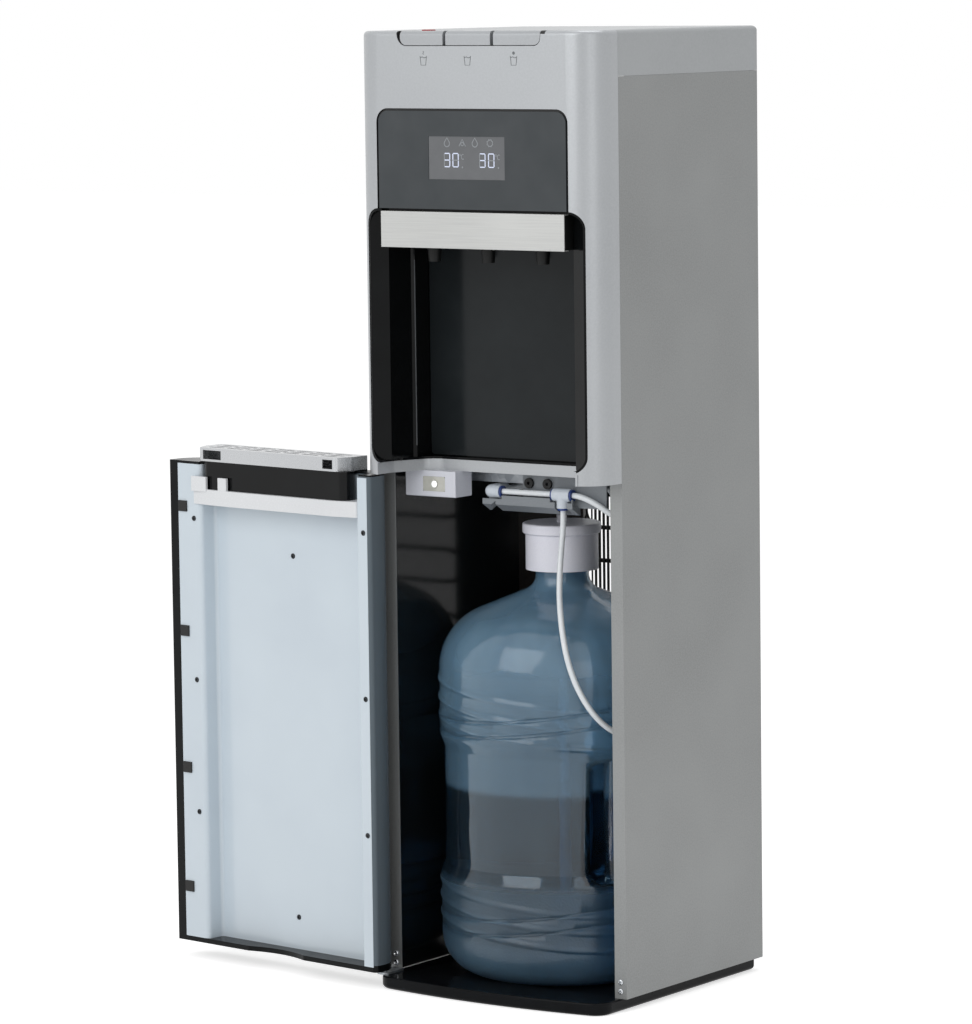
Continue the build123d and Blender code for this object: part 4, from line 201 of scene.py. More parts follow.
@dataclass(frozen=True)
class Finish:
    """One real material and how its surface was made.

    Fields: colour and shade are the two sRGB colours it drifts between, over drift_mm; roughness is its
    range; size_mm is the pattern's real size, stretched by stretch; bump_mm is the pattern's depth;
    specular is how much the bare surface mirrors; zones are where the piece shows another colour.
    """

    name: str
    colour: str
    shade: str
    roughness: tuple[float, float]
    pattern: Pattern
    size_mm: float
    bump_mm: float = 0.02
    drift_mm: float = 140.0
    metallic: float = 0.0
    coat: float = 0.0
    ior: float = 1.5
    stretch: Point3 = (1.0, 1.0, 1.0)
    transmission: float = 0.0
    glow: float = 0.0
    specular: float = 0.5
    zones: tuple[Zone, ...] = ()

    def detail(self, tree: bpy.types.NodeTree, place: Socket) -> Socket:
        """Draws the pattern.

        Args:
            tree: the material's tree.
            place: the point on the surface, in metres.
        Returns:
            the pattern's height, from 0 to 1.
        """
        mapped = add(tree, "ShaderNodeMapping", {"Vector": place, "Scale": self.stretch}).outputs[0]
        sizes = {"Vector": mapped, "Scale": 1.0 / (self.size_mm * MM)}
        if self.pattern is Pattern.SPANGLE:
            cells = add(tree, "ShaderNodeTexVoronoi", sizes, feature="F1")
            return add(tree, "ShaderNodeRGBToBW", {"Color": cells.outputs["Color"]}).outputs[0]
        if self.pattern is Pattern.CELLS:
            return add(tree, "ShaderNodeTexVoronoi", sizes, feature="DISTANCE_TO_EDGE").outputs["Distance"]
        sizes.update({"Detail": OCTAVES[self.pattern], "Roughness": OCTAVE_FALL})
        return add(tree, "ShaderNodeTexNoise", sizes).outputs["Fac"]

    def material(self) -> bpy.types.Material:
        """Makes the Blender material, once.

        Returns:
            the material, which later calls give again.
        """
        known = bpy.data.materials.get(self.name)
        if known:
            return known
        made, tree, place = blank_material(self.name)
        height = self.detail(tree, place)
        slow = {"Vector": place, "Scale": 1.0 / (self.drift_mm * MM), "Detail": DRIFT_OCTAVES}
        drift = add(tree, "ShaderNodeTexNoise", slow).outputs["Fac"]
        blend = add(tree, "ShaderNodeMath", {0: height, 1: drift}, operation="MULTIPLY").outputs[0]
        spread = {"Value": blend, "From Min": TINT_SPAN[0], "From Max": TINT_SPAN[1]}
        share = add(tree, "ShaderNodeMapRange", spread, clamp=True).outputs[0]
        colours = {0: share, 6: linear(self.colour), 7: linear(self.shade)}
        tint = add(tree, "ShaderNodeMix", colours, data_type="RGBA").outputs[2]
        spread = {"Value": height, "From Min": ROUGH_SPAN[0], "From Max": ROUGH_SPAN[1]}
        spread.update({"To Min": self.roughness[0], "To Max": self.roughness[1]})
        rough = add(tree, "ShaderNodeMapRange", spread, clamp=True).outputs[0]
        relief = {"Height": height, "Strength": BUMP_STRENGTH, "Distance": self.bump_mm * MM}
        bump = add(tree, "ShaderNodeBump", relief).outputs[0]
        metal: float | Socket = self.metallic
        for zone in self.zones:
            mask = zone.mask(tree, place)
            colours = {0: mask, 6: tint, 7: linear(zone.colour)}
            tint = add(tree, "ShaderNodeMix", colours, data_type="RGBA").outputs[2]
            rough = add(tree, "ShaderNodeMix", {0: mask, 2: rough, 3: zone.roughness}).outputs[0]
            if self.metallic:
                metal = add(tree, "ShaderNodeMix", {0: mask, 2: metal, 3: 0.0}).outputs[0]
        inputs = {"Base Color": tint, "Roughness": rough, "Normal": bump, "Metallic": metal}
        inputs["Specular IOR Level"] = self.specular
        if not self.metallic:
            inputs["IOR"] = self.ior
        if self.coat:
            inputs.update({"Coat Weight": self.coat, "Coat Roughness": COAT_ROUGHNESS})
        if self.transmission:
            inputs["Transmission Weight"] = self.transmission
        if self.glow:
            inputs.update({"Emission Color": linear(self.colour), "Emission Strength": self.glow})
        shader = add(tree, "ShaderNodeBsdfPrincipled", inputs)
        add(tree, "ShaderNodeOutputMaterial", {"Surface": shader.outputs[0]})
        return made


# ------------------------------------------------------------ finishes
# Each finish is named for its real material and how that was made. Grain, orange peel and brushing
# lines are drawn two to four times coarser than the real ones, which are too fine to show in the render.

# Sprayed silver sheet steel and ABS: a soft metallic sheen under clear lacquer, no sharp reflections.
# Where the buttons and the fascia sit, the shell is painted black as painted shade, so the gaps round them
# are dark.
BUTTON_GAP_PAINTED_SHADE = Zone("050506", 0.5, (0.0, -149.2, 1019.5), (95.5, -113.3, 1040.0))
# Painted shade: black painted into the gap round the fascia.
FASCIA_GAP_PAINTED_SHADE = Zone("050506", 0.5, (0.0, -149.2, 845.0), (124.0, -100.0, 954.6))
SILVER_HEAD = Finish(
    "silver_lacquered_abs", "B2B5B8", "ABAEB1", (0.31, 0.36), Pattern.PEEL, 2.2, 0.005,
    metallic=0.35, zones=(BUTTON_GAP_PAINTED_SHADE, FASCIA_GAP_PAINTED_SHADE),
)
SILVER_LID = Finish(
    "silver_lacquered_lid", "A6A9AB", "9FA2A4", (0.31, 0.36), Pattern.PEEL, 2.2, 0.005, metallic=0.35,
)
# The side sheets are sprayed silver outside and are black on the side that faces the bay.
BAY_WALL = Zone("14181A", 0.1, (139.0, -101.5, 13.0), (154.4, 165.9, 560.0))
SILVER_PANEL = Finish(
    "silver_powder_coated_steel", "949696", "888A8A", (0.36, 0.46), Pattern.PEEL, 1.6, 0.02,
    metallic=0.35, zones=(BAY_WALL,),
)
SILVER_BUTTON = Finish(
    "silver_lacquered_button", "AAADB0", "A4A7AA", (0.3, 0.35), Pattern.PEEL, 2.0, 0.005,
    metallic=0.35,
)
# High-gloss piano black ABS: near-black with clear window reflections.
PIANO_BLACK = Finish(
    "piano_black_abs", "0C0D0F", "15171A", (0.08, 0.16), Pattern.SMEAR, 30.0, 0.01, specular=0.08,
)
# A pale upright line is painted on the step of the side walls: a painted highlight where the step catches the
# light.
ALCOVE_STEP_PAINTED_HIGHLIGHT = Zone("5A5D60", 0.3, (115.0, -93.6, 590.0), (120.0, -92.4, 790.0))
ALCOVE_BLACK = Finish(
    "glossy_black_alcove_abs", "090A0B", "0F1112", (0.07, 0.16), Pattern.SMEAR, 40.0, 0.01,
    specular=0.13, zones=(ALCOVE_STEP_PAINTED_HIGHLIGHT,),
)
ALCOVE_BACK = Finish(
    "glossy_charcoal_back_panel", "1C2022", "222628", (0.10, 0.20), Pattern.SMEAR, 40.0, 0.01,
    specular=0.2,
)
# Graphite acrylic of the fascia: an even dark grey with a soft mirror of the room.
GRAPHITE = Finish(
    "graphite_gloss_fascia_acrylic", "3A3F42", "43474A", (0.12, 0.2), Pattern.SMEAR, 35.0, 0.01,
    specular=0.35,
)
# Smoke-tinted acrylic over the display: mid grey, with a clearer gloss than the fascia.
SMOKE_WINDOW = Finish(
    "smoke_tinted_display_acrylic", "606265", "686A6D", (0.08, 0.14), Pattern.SMEAR, 20.0, 0.005,
    coat=0.2,
)
# Brushed silver foil: fine level lines, which spread a highlight upright.
BAR_SILVER = Finish(
    "brushed_silver_spout_bar", "C4C5C3", "B2B3B2", (0.30, 0.46), Pattern.BRUSHED, 1.2, 0.01,
    metallic=0.5, stretch=(0.02, 1, 1),
)
# Black ABS from a spark-eroded mould: matt, with a fine grain.
BLACK_TEXTURED = Finish(
    "black_textured_abs", "090A0A", "121313", (0.42, 0.6), Pattern.GRAIN, 0.8, 0.05, specular=0.25,
)
# Polished black ABS of the tray: near-black with narrow highlights.
TRAY_BLACK = Finish(
    "glossy_black_tray_abs", "08090A", "101112", (0.06, 0.14), Pattern.SMEAR, 25.0, 0.01, specular=0.2,
)
# Small coloured mouldings: satin, in one even colour.
LATCH_RED = Finish("red_moulded_latch", "B01C1C", "8E1414", (0.25, 0.35), Pattern.GRAIN, 0.8, 0.02)
SWITCH_RED = Finish("red_rocker_polycarbonate", "B81616", "8F0E0E", (0.15, 0.25), Pattern.GRAIN, 1.0, 0.01)
SWITCH_GREEN = Finish(
    "green_rocker_polycarbonate", "157A36", "0D5A26", (0.15, 0.25), Pattern.GRAIN, 1.0, 0.01,
)
# Solder mask over glass cloth: satin green.
CIRCUIT_GREEN = Finish(
    "solder_masked_circuit_board", "1D4A2A", "16391F", (0.3, 0.45), Pattern.GRAIN, 1.5, 0.05,
)
# Hot-dip galvanised sheet: pale grey zinc with crystal spangle.
GALVANISED = Finish(
    "hot_dip_galvanised_sheet", "A9ADB1", "8E9398", (0.28, 0.5), Pattern.SPANGLE, 9.0, 0.02,
    metallic=0.85,
)
# Painted and lacquered black steel behind the bottle: dark with a low sheen.
DARK_STEEL = Finish(
    "black_painted_back_sheet", "262423", "312C29", (0.16, 0.26), Pattern.PEEL, 2.0, 0.02, coat=0.2,
)
COIL_BLACK = Finish(
    "black_lacquered_condenser_steel", "111111", "1C1C1C", (0.3, 0.45), Pattern.GRAIN, 1.0, 0.03,
)
# White, grey and blue mouldings of the bay: satin, with a fine grain.
WHITE_ABS = Finish("white_moulded_abs", "DCDEE6", "CFD1DA", (0.24, 0.34), Pattern.GRAIN, 1.2, 0.02)
BRACKET_GREY = Finish("grey_moulded_bracket", "868B90", "787D82", (0.4, 0.55), Pattern.GRAIN, 0.8, 0.04)
FITTING_WHITE = Finish(
    "white_acetal_push_fitting", "D5DCE4", "C3CBD4", (0.25, 0.36), Pattern.GRAIN, 0.8, 0.02,
)
COLLAR_BLUE = Finish("dark_blue_locking_clip", "1F3F86", "182F66", (0.25, 0.36), Pattern.GRAIN, 0.8, 0.02)
# Polyethylene tube: milky, with a waxy gloss.
TUBE_WHITE = Finish("milky_polyethylene_tube", "EEF1F3", "DDE3E8", (0.22, 0.34), Pattern.SMEAR, 9.0, 0.01)
# Moulded rubber: dull black that hardly mirrors.
RUBBER_BLACK = Finish("black_moulded_rubber", "101010", "1B1B1B", (0.6, 0.8), Pattern.GRAIN, 0.8, 0.06)
# Clear polycarbonate over the lamp: part see-through, with faint streaks.
LENS_CLEAR = Finish(
    "clear_polycarbonate_lens", "E4E4DC", "CFCFC4", (0.04, 0.1), Pattern.SMEAR, 8.0, 0.01,
    ior=1.58, transmission=0.25,
)
# Polyethylene cap: white with a lilac cast, satin.
CAP_LILAC = Finish("lilac_white_polyethylene_cap", "F2F2FA", "E8E8F2", (0.32, 0.44), Pattern.GRAIN, 1.2, 0.03)
# Brushed stainless sheet of the door: a bright metal with upright belt lines.
DOOR_STEEL = Finish(
    "brushed_stainless_door_skin", "BFC1C3", "A9ABAD", (0.24, 0.4), Pattern.BRUSHED, 0.9, 0.01,
    metallic=1.0, stretch=(1, 1, 0.01),
)
# The wall next to the hinge is painted grey as a painted reflection of its polish, and the free edge is
# black.
HINGE_WALL_PAINTED_REFLECTION = Zone("626C73", 0.25, (-200.0, -200.0, 26.0), (-133.0, -112.0, 559.0), both_sides=False)
DOOR_FRAME = Finish(
    "black_door_frame_abs", "0B0D0E", "121415", (0.18, 0.3), Pattern.SMEAR, 30.0, 0.02,
    specular=0.12, zones=(HINGE_WALL_PAINTED_REFLECTION,),
)
# Vacuum-formed liner: pale blue, glossy and very even.
LINER_PALE = Finish(
    "pale_vacuum_formed_liner", "D3DEE6", "CDD8E1", (0.14, 0.2), Pattern.SMEAR, 90.0, 0.01, coat=0.2,
)
# White ABS of the shelf: clean and lightly glossy.
SHELF_WHITE = Finish("white_shelf_abs", "E6E8EA", "DEE0E3", (0.2, 0.32), Pattern.GRAIN, 1.5, 0.02)
# Satin stainless grate: fine level lines.
GRATE_STEEL = Finish(
    "satin_stainless_drip_grate", "C6C8CA", "BBBDC0", (0.22, 0.32), Pattern.BRUSHED, 0.8, 0.01,
    metallic=0.8, stretch=(0.02, 1, 1),
)
# Screws: bright zinc on the cabinet, black oxide on the door.
SCREW_STEEL = Finish(
    "zinc_plated_screw", "CDCFD2", "B4B8BC", (0.14, 0.26), Pattern.SMEAR, 2.0, 0.01, metallic=1.0,
)
SCREW_DARK = Finish(
    "black_oxide_screw", "3A3C3E", "2A2C2E", (0.2, 0.32), Pattern.SMEAR, 2.0, 0.01, metallic=0.9,
)
# Poured foam: dull yellow with open cells.
FOAM = Finish("poured_polyurethane_foam", "DCD2B4", "C6B98F", (0.7, 0.9), Pattern.CELLS, 2.5, 0.3)
# Drawn stainless tanks: bright, with fine upright lines.
STAINLESS = Finish(
    "drawn_stainless_tank", "C8CACC", "B2B5B8", (0.2, 0.34), Pattern.BRUSHED, 1.0, 0.01,
    metallic=1.0, stretch=(1, 1, 0.02),
)
# Enamelled steel shell: black, glossy, with orange peel.
COMPRESSOR_BLACK = Finish(
    "black_enamelled_compressor_shell", "141414", "1F1F1F", (0.25, 0.4), Pattern.PEEL, 3.0, 0.05,
)
# Drawn copper: warm and bright, dulled in streaks.
COPPER = Finish("drawn_copper_tube", "C67F52", "A8643B", (0.2, 0.36), Pattern.SMEAR, 6.0, 0.01, metallic=1.0)
# The display's lit and unlit marks, the printed ink and the lamp's lit dome.
DISPLAY_LIT = Finish(
    "lit_display_segment", "C9D0E4", "BCC4DA", (0.4, 0.5), Pattern.GRAIN, 1.0, 0.0, glow=0.35,
)
DISPLAY_DIM = Finish("unlit_display_mark", "8C9094", "85898D", (0.3, 0.4), Pattern.GRAIN, 1.0, 0.0)
PRINT_GREY = Finish("dark_pad_printed_ink", "5E6264", "6A6E70", (0.4, 0.5), Pattern.GRAIN, 0.6, 0.0)
LED_GLOW = Finish("lit_led_dome", "FFFFFF", "F4F8FF", (0.2, 0.3), Pattern.GRAIN, 1.0, 0.0, glow=0.5)


def dress(nodes: Nodes, finish: Finish, *names: str) -> None:
    """Gives CAD nodes one finish.

    Args:
        nodes: the frame's nodes by name.
        finish: what they are made of.
        names: the nodes.
    """
    for name in names:
        obj = nodes[name]
        if not obj.material_slots:
            obj.data.materials.append(finish.material())
        for slot in obj.material_slots:
            slot.material = finish.material()
        LOG.info("node %s dressed as %s", name, finish.name)


# ------------------------------------------------------------ mesh helpers
def link(name: str, data: bpy.types.ID) -> bpy.types.Object:
    """Puts new data into the scene, at the origin.

    Args:
        name: the object's name.
        data: its mesh, curve, camera or lamp.
    Returns:
        the new object.
    """
    obj = bpy.data.objects.new(name, data)
    bpy.context.scene.collection.objects.link(obj)
    return obj


def to_piece(name: str, mesh: bmesh.types.BMesh, material: bpy.types.Material) -> bpy.types.Object:
    """Turns a bmesh into a scene object at the origin, with its faces as they are.

    Args:
        name: the piece's name.
        mesh: its shape, in the row frame, in metres. It is freed.
        material: what it is made of.
    Returns:
        the new object.
    """
    data = bpy.data.meshes.new(name)
    mesh.to_mesh(data)
    mesh.free()
    data.materials.append(material)
    LOG.info("piece %s: %d faces", name, len(data.polygons))
    return link(name, data)


def to_object(
    name: str, mesh: bmesh.types.BMesh, finish: Finish, smooth: bool = False
) -> bpy.types.Object:
    """Turns a bmesh into a scene object at the origin, with its faces turned outwards.

    Args:
        name: the piece's name.
        mesh: its shape, in the row frame, in metres. It is freed.
        finish: what it is made of.
        smooth: whether its faces shade as one curved surface.
    Returns:
        the new object.
    """
    bmesh.ops.recalc_face_normals(mesh, faces=mesh.faces)
    for face in mesh.faces:
        face.smooth = smooth
    return to_piece(name, mesh, finish.material())


def merged(data: bpy.types.Mesh) -> bmesh.types.BMesh:
    """Copies a mesh and joins its loose triangles.

    Args:
        data: the mesh, which stays as it is.
    Returns:
        the copy.
    """
    mesh = bmesh.new()
    mesh.from_mesh(data)
    bmesh.ops.remove_doubles(mesh, verts=mesh.verts, dist=MERGE_DISTANCE)
    return mesh


def islands(mesh: bmesh.types.BMesh) -> list[list[bmesh.types.BMVert]]:
    """Parts a mesh into its separate shells.

    Args:
        mesh: the mesh.
    Returns:
        the points of each shell.
    """
    shells, seen = [], set()
    for start in mesh.verts:
        if start in seen:
            continue
        shell, queue = [], [start]
        seen.add(start)
        while queue:
            vert = queue.pop()
            shell.append(vert)
            for edge in vert.link_edges:
                other = edge.other_vert(vert)
                if other not in seen:
                    seen.add(other)
                    queue.append(other)
        shells.append(shell)
    return shells


def evaluated(obj: bpy.types.Object) -> bpy.types.Mesh:
    """Gives the mesh that an object's modifiers make."""
    return bpy.data.meshes.new_from_object(obj.evaluated_get(bpy.context.evaluated_depsgraph_get()))


def prism(mesh: bmesh.types.BMesh, outline: list[Vector], depth: Vector) -> None:
    """Adds a closed prism to a mesh.

    Args:
        mesh: what it is added to.
        outline: the corners of one end, in order.
        depth: from that end to the other.
    """
    front = [mesh.verts.new(p) for p in outline]
    back = [mesh.verts.new(p + depth) for p in outline]
    mesh.faces.new(front)
    mesh.faces.new(back[::-1])
    for i, _ in enumerate(outline):
        j = (i + 1) % len(outline)
        mesh.faces.new((front[j], front[i], back[i], back[j]))


def ribbon(mesh: bmesh.types.BMesh, line: list[Vector], width: float, depth: float, closed: bool) -> None:
    """Adds a thin printed line that faces -Y, as one closed strip.

    Args:
        mesh: what it is added to.
        line: the middle of the line, in order.
        width: the line's width.
        depth: how far it goes back along +Y.
        closed: whether its end joins its start.
    """
    count = len(line)
    rings = []
    back = Vector((0, depth, 0))
    for i, p in enumerate(line):
        before = line[(i - 1) % count] if closed or i else p
        after = line[(i + 1) % count] if closed or i < count - 1 else p
        run = after - before
        side = Vector((-run.z, 0, run.x)).normalized() * width / 2
        rings.append([mesh.verts.new(q) for q in (p - side, p + side, p + side + back, p - side + back)])
    following = rings[1:] + rings[:1] if closed else rings[1:]
    for a, b in zip(rings, following):
        for k in range(4):
            mesh.faces.new((a[k], a[(k + 1) % 4], b[(k + 1) % 4], b[k]))
    if not closed:
        mesh.faces.new(rings[0])
        mesh.faces.new(rings[-1][::-1])


def skin(node: bpy.types.Object) -> BVHTree:
    """Gives a CAD node's surface for placing print on it.

    Args:
        node: the CAD node.
    Returns:
        a tree that rays can be cast at.
    """
    points = [v.co for v in node.data.vertices]
    return BVHTree.FromPolygons(points, [p.vertices[:] for p in node.data.polygons])


def on_front(surface: BVHTree, x: float, z: float, proud: float) -> Vector:
    """Finds the point of a surface that shows from the front.

    Args:
        surface: the surface, as skin() gives it.
        x: how far right, in metres.
        z: how high, in metres.
        proud: how far in front of the surface the point lies.
    Returns:
        the point.
    """
    hit = surface.ray_cast(Vector((x, -1.0, z)), Vector((0, 1, 0)))[0]
    return Vector((x, hit.y - proud, z))


def arc(across: float, up: float, degrees: Iterable[float], lift: float = 0.0) -> list[Point2]:
    """Gives points of an ellipse.

    Args:
        across: its half width.
        up: its half height.
        degrees: where the points are, from the right and counter-clockwise.
        lift: how far its middle is above the origin.
    Returns:
        the points.
    """
    turns = [math.radians(d) for d in degrees]
    return [(across * math.cos(t), up * math.sin(t) + lift) for t in turns]


def whole_turn(count: int) -> list[float]:
    """Divides a turn into equal steps, in degrees."""
    return [360.0 * k / count for k in range(count)]


def scaled(line: Iterable[Point2], share: float) -> list[Point2]:
    """Draws a line larger or smaller about its origin."""
    return [(x * share, z * share) for x, z in line]


@dataclass(frozen=True)
class Stroke:
    """One printed line: where its origin is, its points from there and its width, in millimetres."""

    x: float
    z: float
    line: Iterable[Point2]
    width: float
    closed: bool = False

    def draw(self, mesh: bmesh.types.BMesh, surface: BVHTree, proud: float, depth: float) -> None:
        """Adds the line to a mesh.

        Args:
            mesh: what it is added to.
            surface: what it is printed on.
            proud: how far it stands in front of that, in millimetres.
            depth: how far it goes back, in millimetres.
        """
        places = [((self.x + a) * MM, (self.z + b) * MM) for a, b in self.line]
        points = [on_front(surface, x, z, proud * MM) for x, z in places]
        ribbon(mesh, points, self.width * MM, depth * MM, self.closed)


# ------------------------------------------------------------ the studio
@dataclass(frozen=True)
class SoftBox:
    """A soft lamp: where it hangs, the side of its square and its watts."""

    name: str
    place: Point3
    size: float
    power: float


@dataclass
class Studio:
    """The camera, the pale floor and the soft lamps of a product photograph."""

    azimuth: float = 35.41
    elevation: float = 6.26
    roll: float = -0.72
    place: Point3 = (3.00826, -4.36191, 1.09687)
    lens: float = 173.28
    sight: float = 60.0
    floor_size: float = 30.0
    floor_colours: tuple[str, str] = ("ECECEC", "F0F0F0")
    floor_lift: float = 0.58
    fibre_scale: float = 40.0
    ambient: float = 0.55
    aim: Point3 = (0.0, 0.0, 0.55)
    # A key from the front, a weaker fill from the right and one from above.
    boxes: tuple[SoftBox, ...] = (
        SoftBox("key_softbox", (-0.5, -2.7, 1.9), 2.2, 31.0),
        SoftBox("fill_softbox", (2.4, -1.4, 1.2), 1.4, 5.0),
        SoftBox("top_softbox", (0.2, 0.3, 2.8), 1.4, 14.0),
    )

    def camera(self) -> bpy.types.Object:
        """Makes the camera at the photograph's viewing angle.

        Returns:
            the camera.
        """
        a, e, r = (math.radians(d) for d in (self.azimuth, self.elevation, self.roll))
        back = Vector((math.sin(a) * math.cos(e), -math.cos(a) * math.cos(e), math.sin(e)))
        right = Vector((math.cos(a), math.sin(a), 0))
        up = back.cross(right)
        across = math.cos(r) * right + math.sin(r) * up
        upward = -math.sin(r) * right + math.cos(r) * up
        data = bpy.data.cameras.new("camera")
        data.lens = self.lens
        data.clip_end = self.sight
        camera = link("camera", data)
        turn = Matrix((across, upward, back)).transposed()
        camera.matrix_world = Matrix.Translation(self.place) @ turn.to_4x4()
        bpy.context.scene.camera = camera
        return camera

    def world(self) -> None:
        """Makes the white surroundings: white where they are seen, dimmer as a light on the object."""
        world = bpy.data.worlds.new("pale_studio")
        bpy.context.scene.world = world
        world.use_nodes = True
        tree = world.node_tree
        tree.nodes.clear()
        levels = {"Value": showing_ray(tree), "To Min": self.ambient, "To Max": 1.0}
        strength = add(tree, "ShaderNodeMapRange", levels).outputs[0]
        sky = add(tree, "ShaderNodeBackground", {"Color": linear("FFFFFF"), "Strength": strength})
        add(tree, "ShaderNodeOutputWorld", {"Surface": sky.outputs[0]})

    def paper(self) -> bpy.types.Material:
        """Makes the floor's white paper, lifted to white where it is seen.

        Returns:
            the material.
        """
        made, tree, place = blank_material("white_studio_paper")
        sizes = {"Vector": place, "Scale": self.fibre_scale, "Detail": 2.0}
        fibre = add(tree, "ShaderNodeTexNoise", sizes).outputs["Fac"]
        colours = {0: fibre, 6: linear(self.floor_colours[0]), 7: linear(self.floor_colours[1])}
        tone = add(tree, "ShaderNodeMix", colours, data_type="RGBA").outputs[2]
        sheet = add(tree, "ShaderNodeBsdfDiffuse", {"Color": tone}).outputs[0]
        levels = {0: showing_ray(tree), 1: self.floor_lift}
        lift = add(tree, "ShaderNodeMath", levels, operation="MULTIPLY").outputs[0]
        glow = add(tree, "ShaderNodeEmission", {"Color": linear("FFFFFF"), "Strength": lift}).outputs[0]
        both = add(tree, "ShaderNodeAddShader", {0: sheet, 1: glow})
        add(tree, "ShaderNodeOutputMaterial", {"Surface": both.outputs[0]})
        return made

    def floor(self) -> bpy.types.Object:
        """Makes the floor, which keeps the object's shadow on a near-white ground.

        Returns:
            the floor.
        """
        half = self.floor_size / 2
        mesh = bmesh.new()
        corners = ((-half, -half), (half, -half), (half, half), (-half, half))
        mesh.faces.new([mesh.verts.new((x, y, 0)) for x, y in corners])
        floor = to_piece("studio_floor", mesh, self.paper())
        return floor

    def lamp(self, box: SoftBox) -> bpy.types.Object:
        """Hangs one soft box.

        Args:
            box: which one.
        Returns:
            the lamp.
        """
        data = bpy.data.lights.new(box.name, "AREA")
        data.shape = "SQUARE"
        data.size = box.size
        data.energy = box.power
        lamp = link(box.name, data)
        place = Vector(box.place)
        turn = (Vector(self.aim) - place).to_track_quat("-Z", "Y").to_matrix().to_4x4()
        lamp.matrix_world = Matrix.Translation(place) @ turn
        return lamp

    def build(self) -> None:
        """Makes everything around the object, and sets how colours are shown."""
        self.camera()
        self.world()
        self.floor()
        for box in self.boxes:
            self.lamp(box)
        bpy.context.scene.view_settings.view_transform = "Standard"


# ------------------------------------------------------------ the probe's hose
@dataclass
class ProbeHose:
    """The white hose from the tee under the deck, down beside the bottle and up over its cap."""

    diameter: float = 6.35 * MM
    length: float = 0.6886
    bevel_steps: int = 5
    smooth_steps: int = 8
    route: tuple[Point3, ...] = (
        (0.049, -0.0573, 0.5247),
        (0.049, -0.0573, 0.507),
        (0.051, -0.0645, 0.485),
        (0.0555, -0.0745, 0.4605),
        (0.061, -0.084, 0.437),
        (0.068, -0.092, 0.414),
        (0.0755, -0.0985, 0.393),
        (0.082, -0.1015, 0.373),
        (0.089, -0.1015, 0.354),
        (0.0965, -0.0985, 0.3355),
        (0.105, -0.093, 0.3185),
        (0.1135, -0.085, 0.3045),
        (0.1235, -0.075, 0.2935),
        (0.135, -0.060, 0.288),
        (0.144, -0.042, 0.292),
        (0.147, -0.022, 0.307),
        (0.1475, -0.003, 0.330),
        (0.147, 0.014, 0.356),
        (0.143, 0.029, 0.383),
        (0.134, 0.040, 0.409),
        (0.120, 0.047, 0.434),
        (0.103, 0.050, 0.458),
        (0.084, 0.050, 0.482),
        (0.066, 0.048, 0.505),
        (0.051, 0.0445, 0.526),
        (0.038, 0.039, 0.5435),
        (0.026, 0.0305, 0.5515),
        (0.0144, 0.0218, 0.5505),
        (0.0052, 0.0149, 0.541),
        (0.0, 0.011, 0.527),
        (0.0, 0.011, 0.511),
    )

    def build(self) -> bpy.types.Object:
        """Makes the hose as one smooth tube.

        Returns:
            the curve.
        """
        curve = bpy.data.curves.new("probe_hose_tube", "CURVE")
        curve.dimensions = "3D"
        curve.bevel_depth = self.diameter / 2
        curve.bevel_resolution = self.bevel_steps
        curve.resolution_u = self.smooth_steps
        curve.use_fill_caps = True
        line = curve.splines.new("NURBS")
        line.points.add(len(self.route) - 1)
        for point, place in zip(line.points, self.route):
            point.co = (*place, 1.0)
        line.order_u = 3
        line.use_endpoint_u = True
        curve.materials.append(TUBE_WHITE.material())
        hose = link("probe_hose_tube", curve)
        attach(hose, "cabinet")
        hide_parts("probe_hose")
        LOG.info("piece %s: %d route points", hose.name, len(self.route))
        return hose


# ------------------------------------------------------------ screws
# A pan head from its seat up to its crown, in shares of its radius and of its height.
HEAD_OUTLINE = ((0.0, -0.3), (0.96, -0.3), (1.0, 0.12), (0.97, 0.45), (0.82, 0.8), (0.55, 1.0), (0.0, 1.04))
# The cross recess, in the same shares: its half length and half width, its top and its foot.
RECESS_LENGTH = 0.62
RECESS_WIDTH = 0.16
RECESS_TOP = 1.2
RECESS_FOOT = -0.05
RECESS_TAPER = 0.22
RIM_SHARE = 0.85


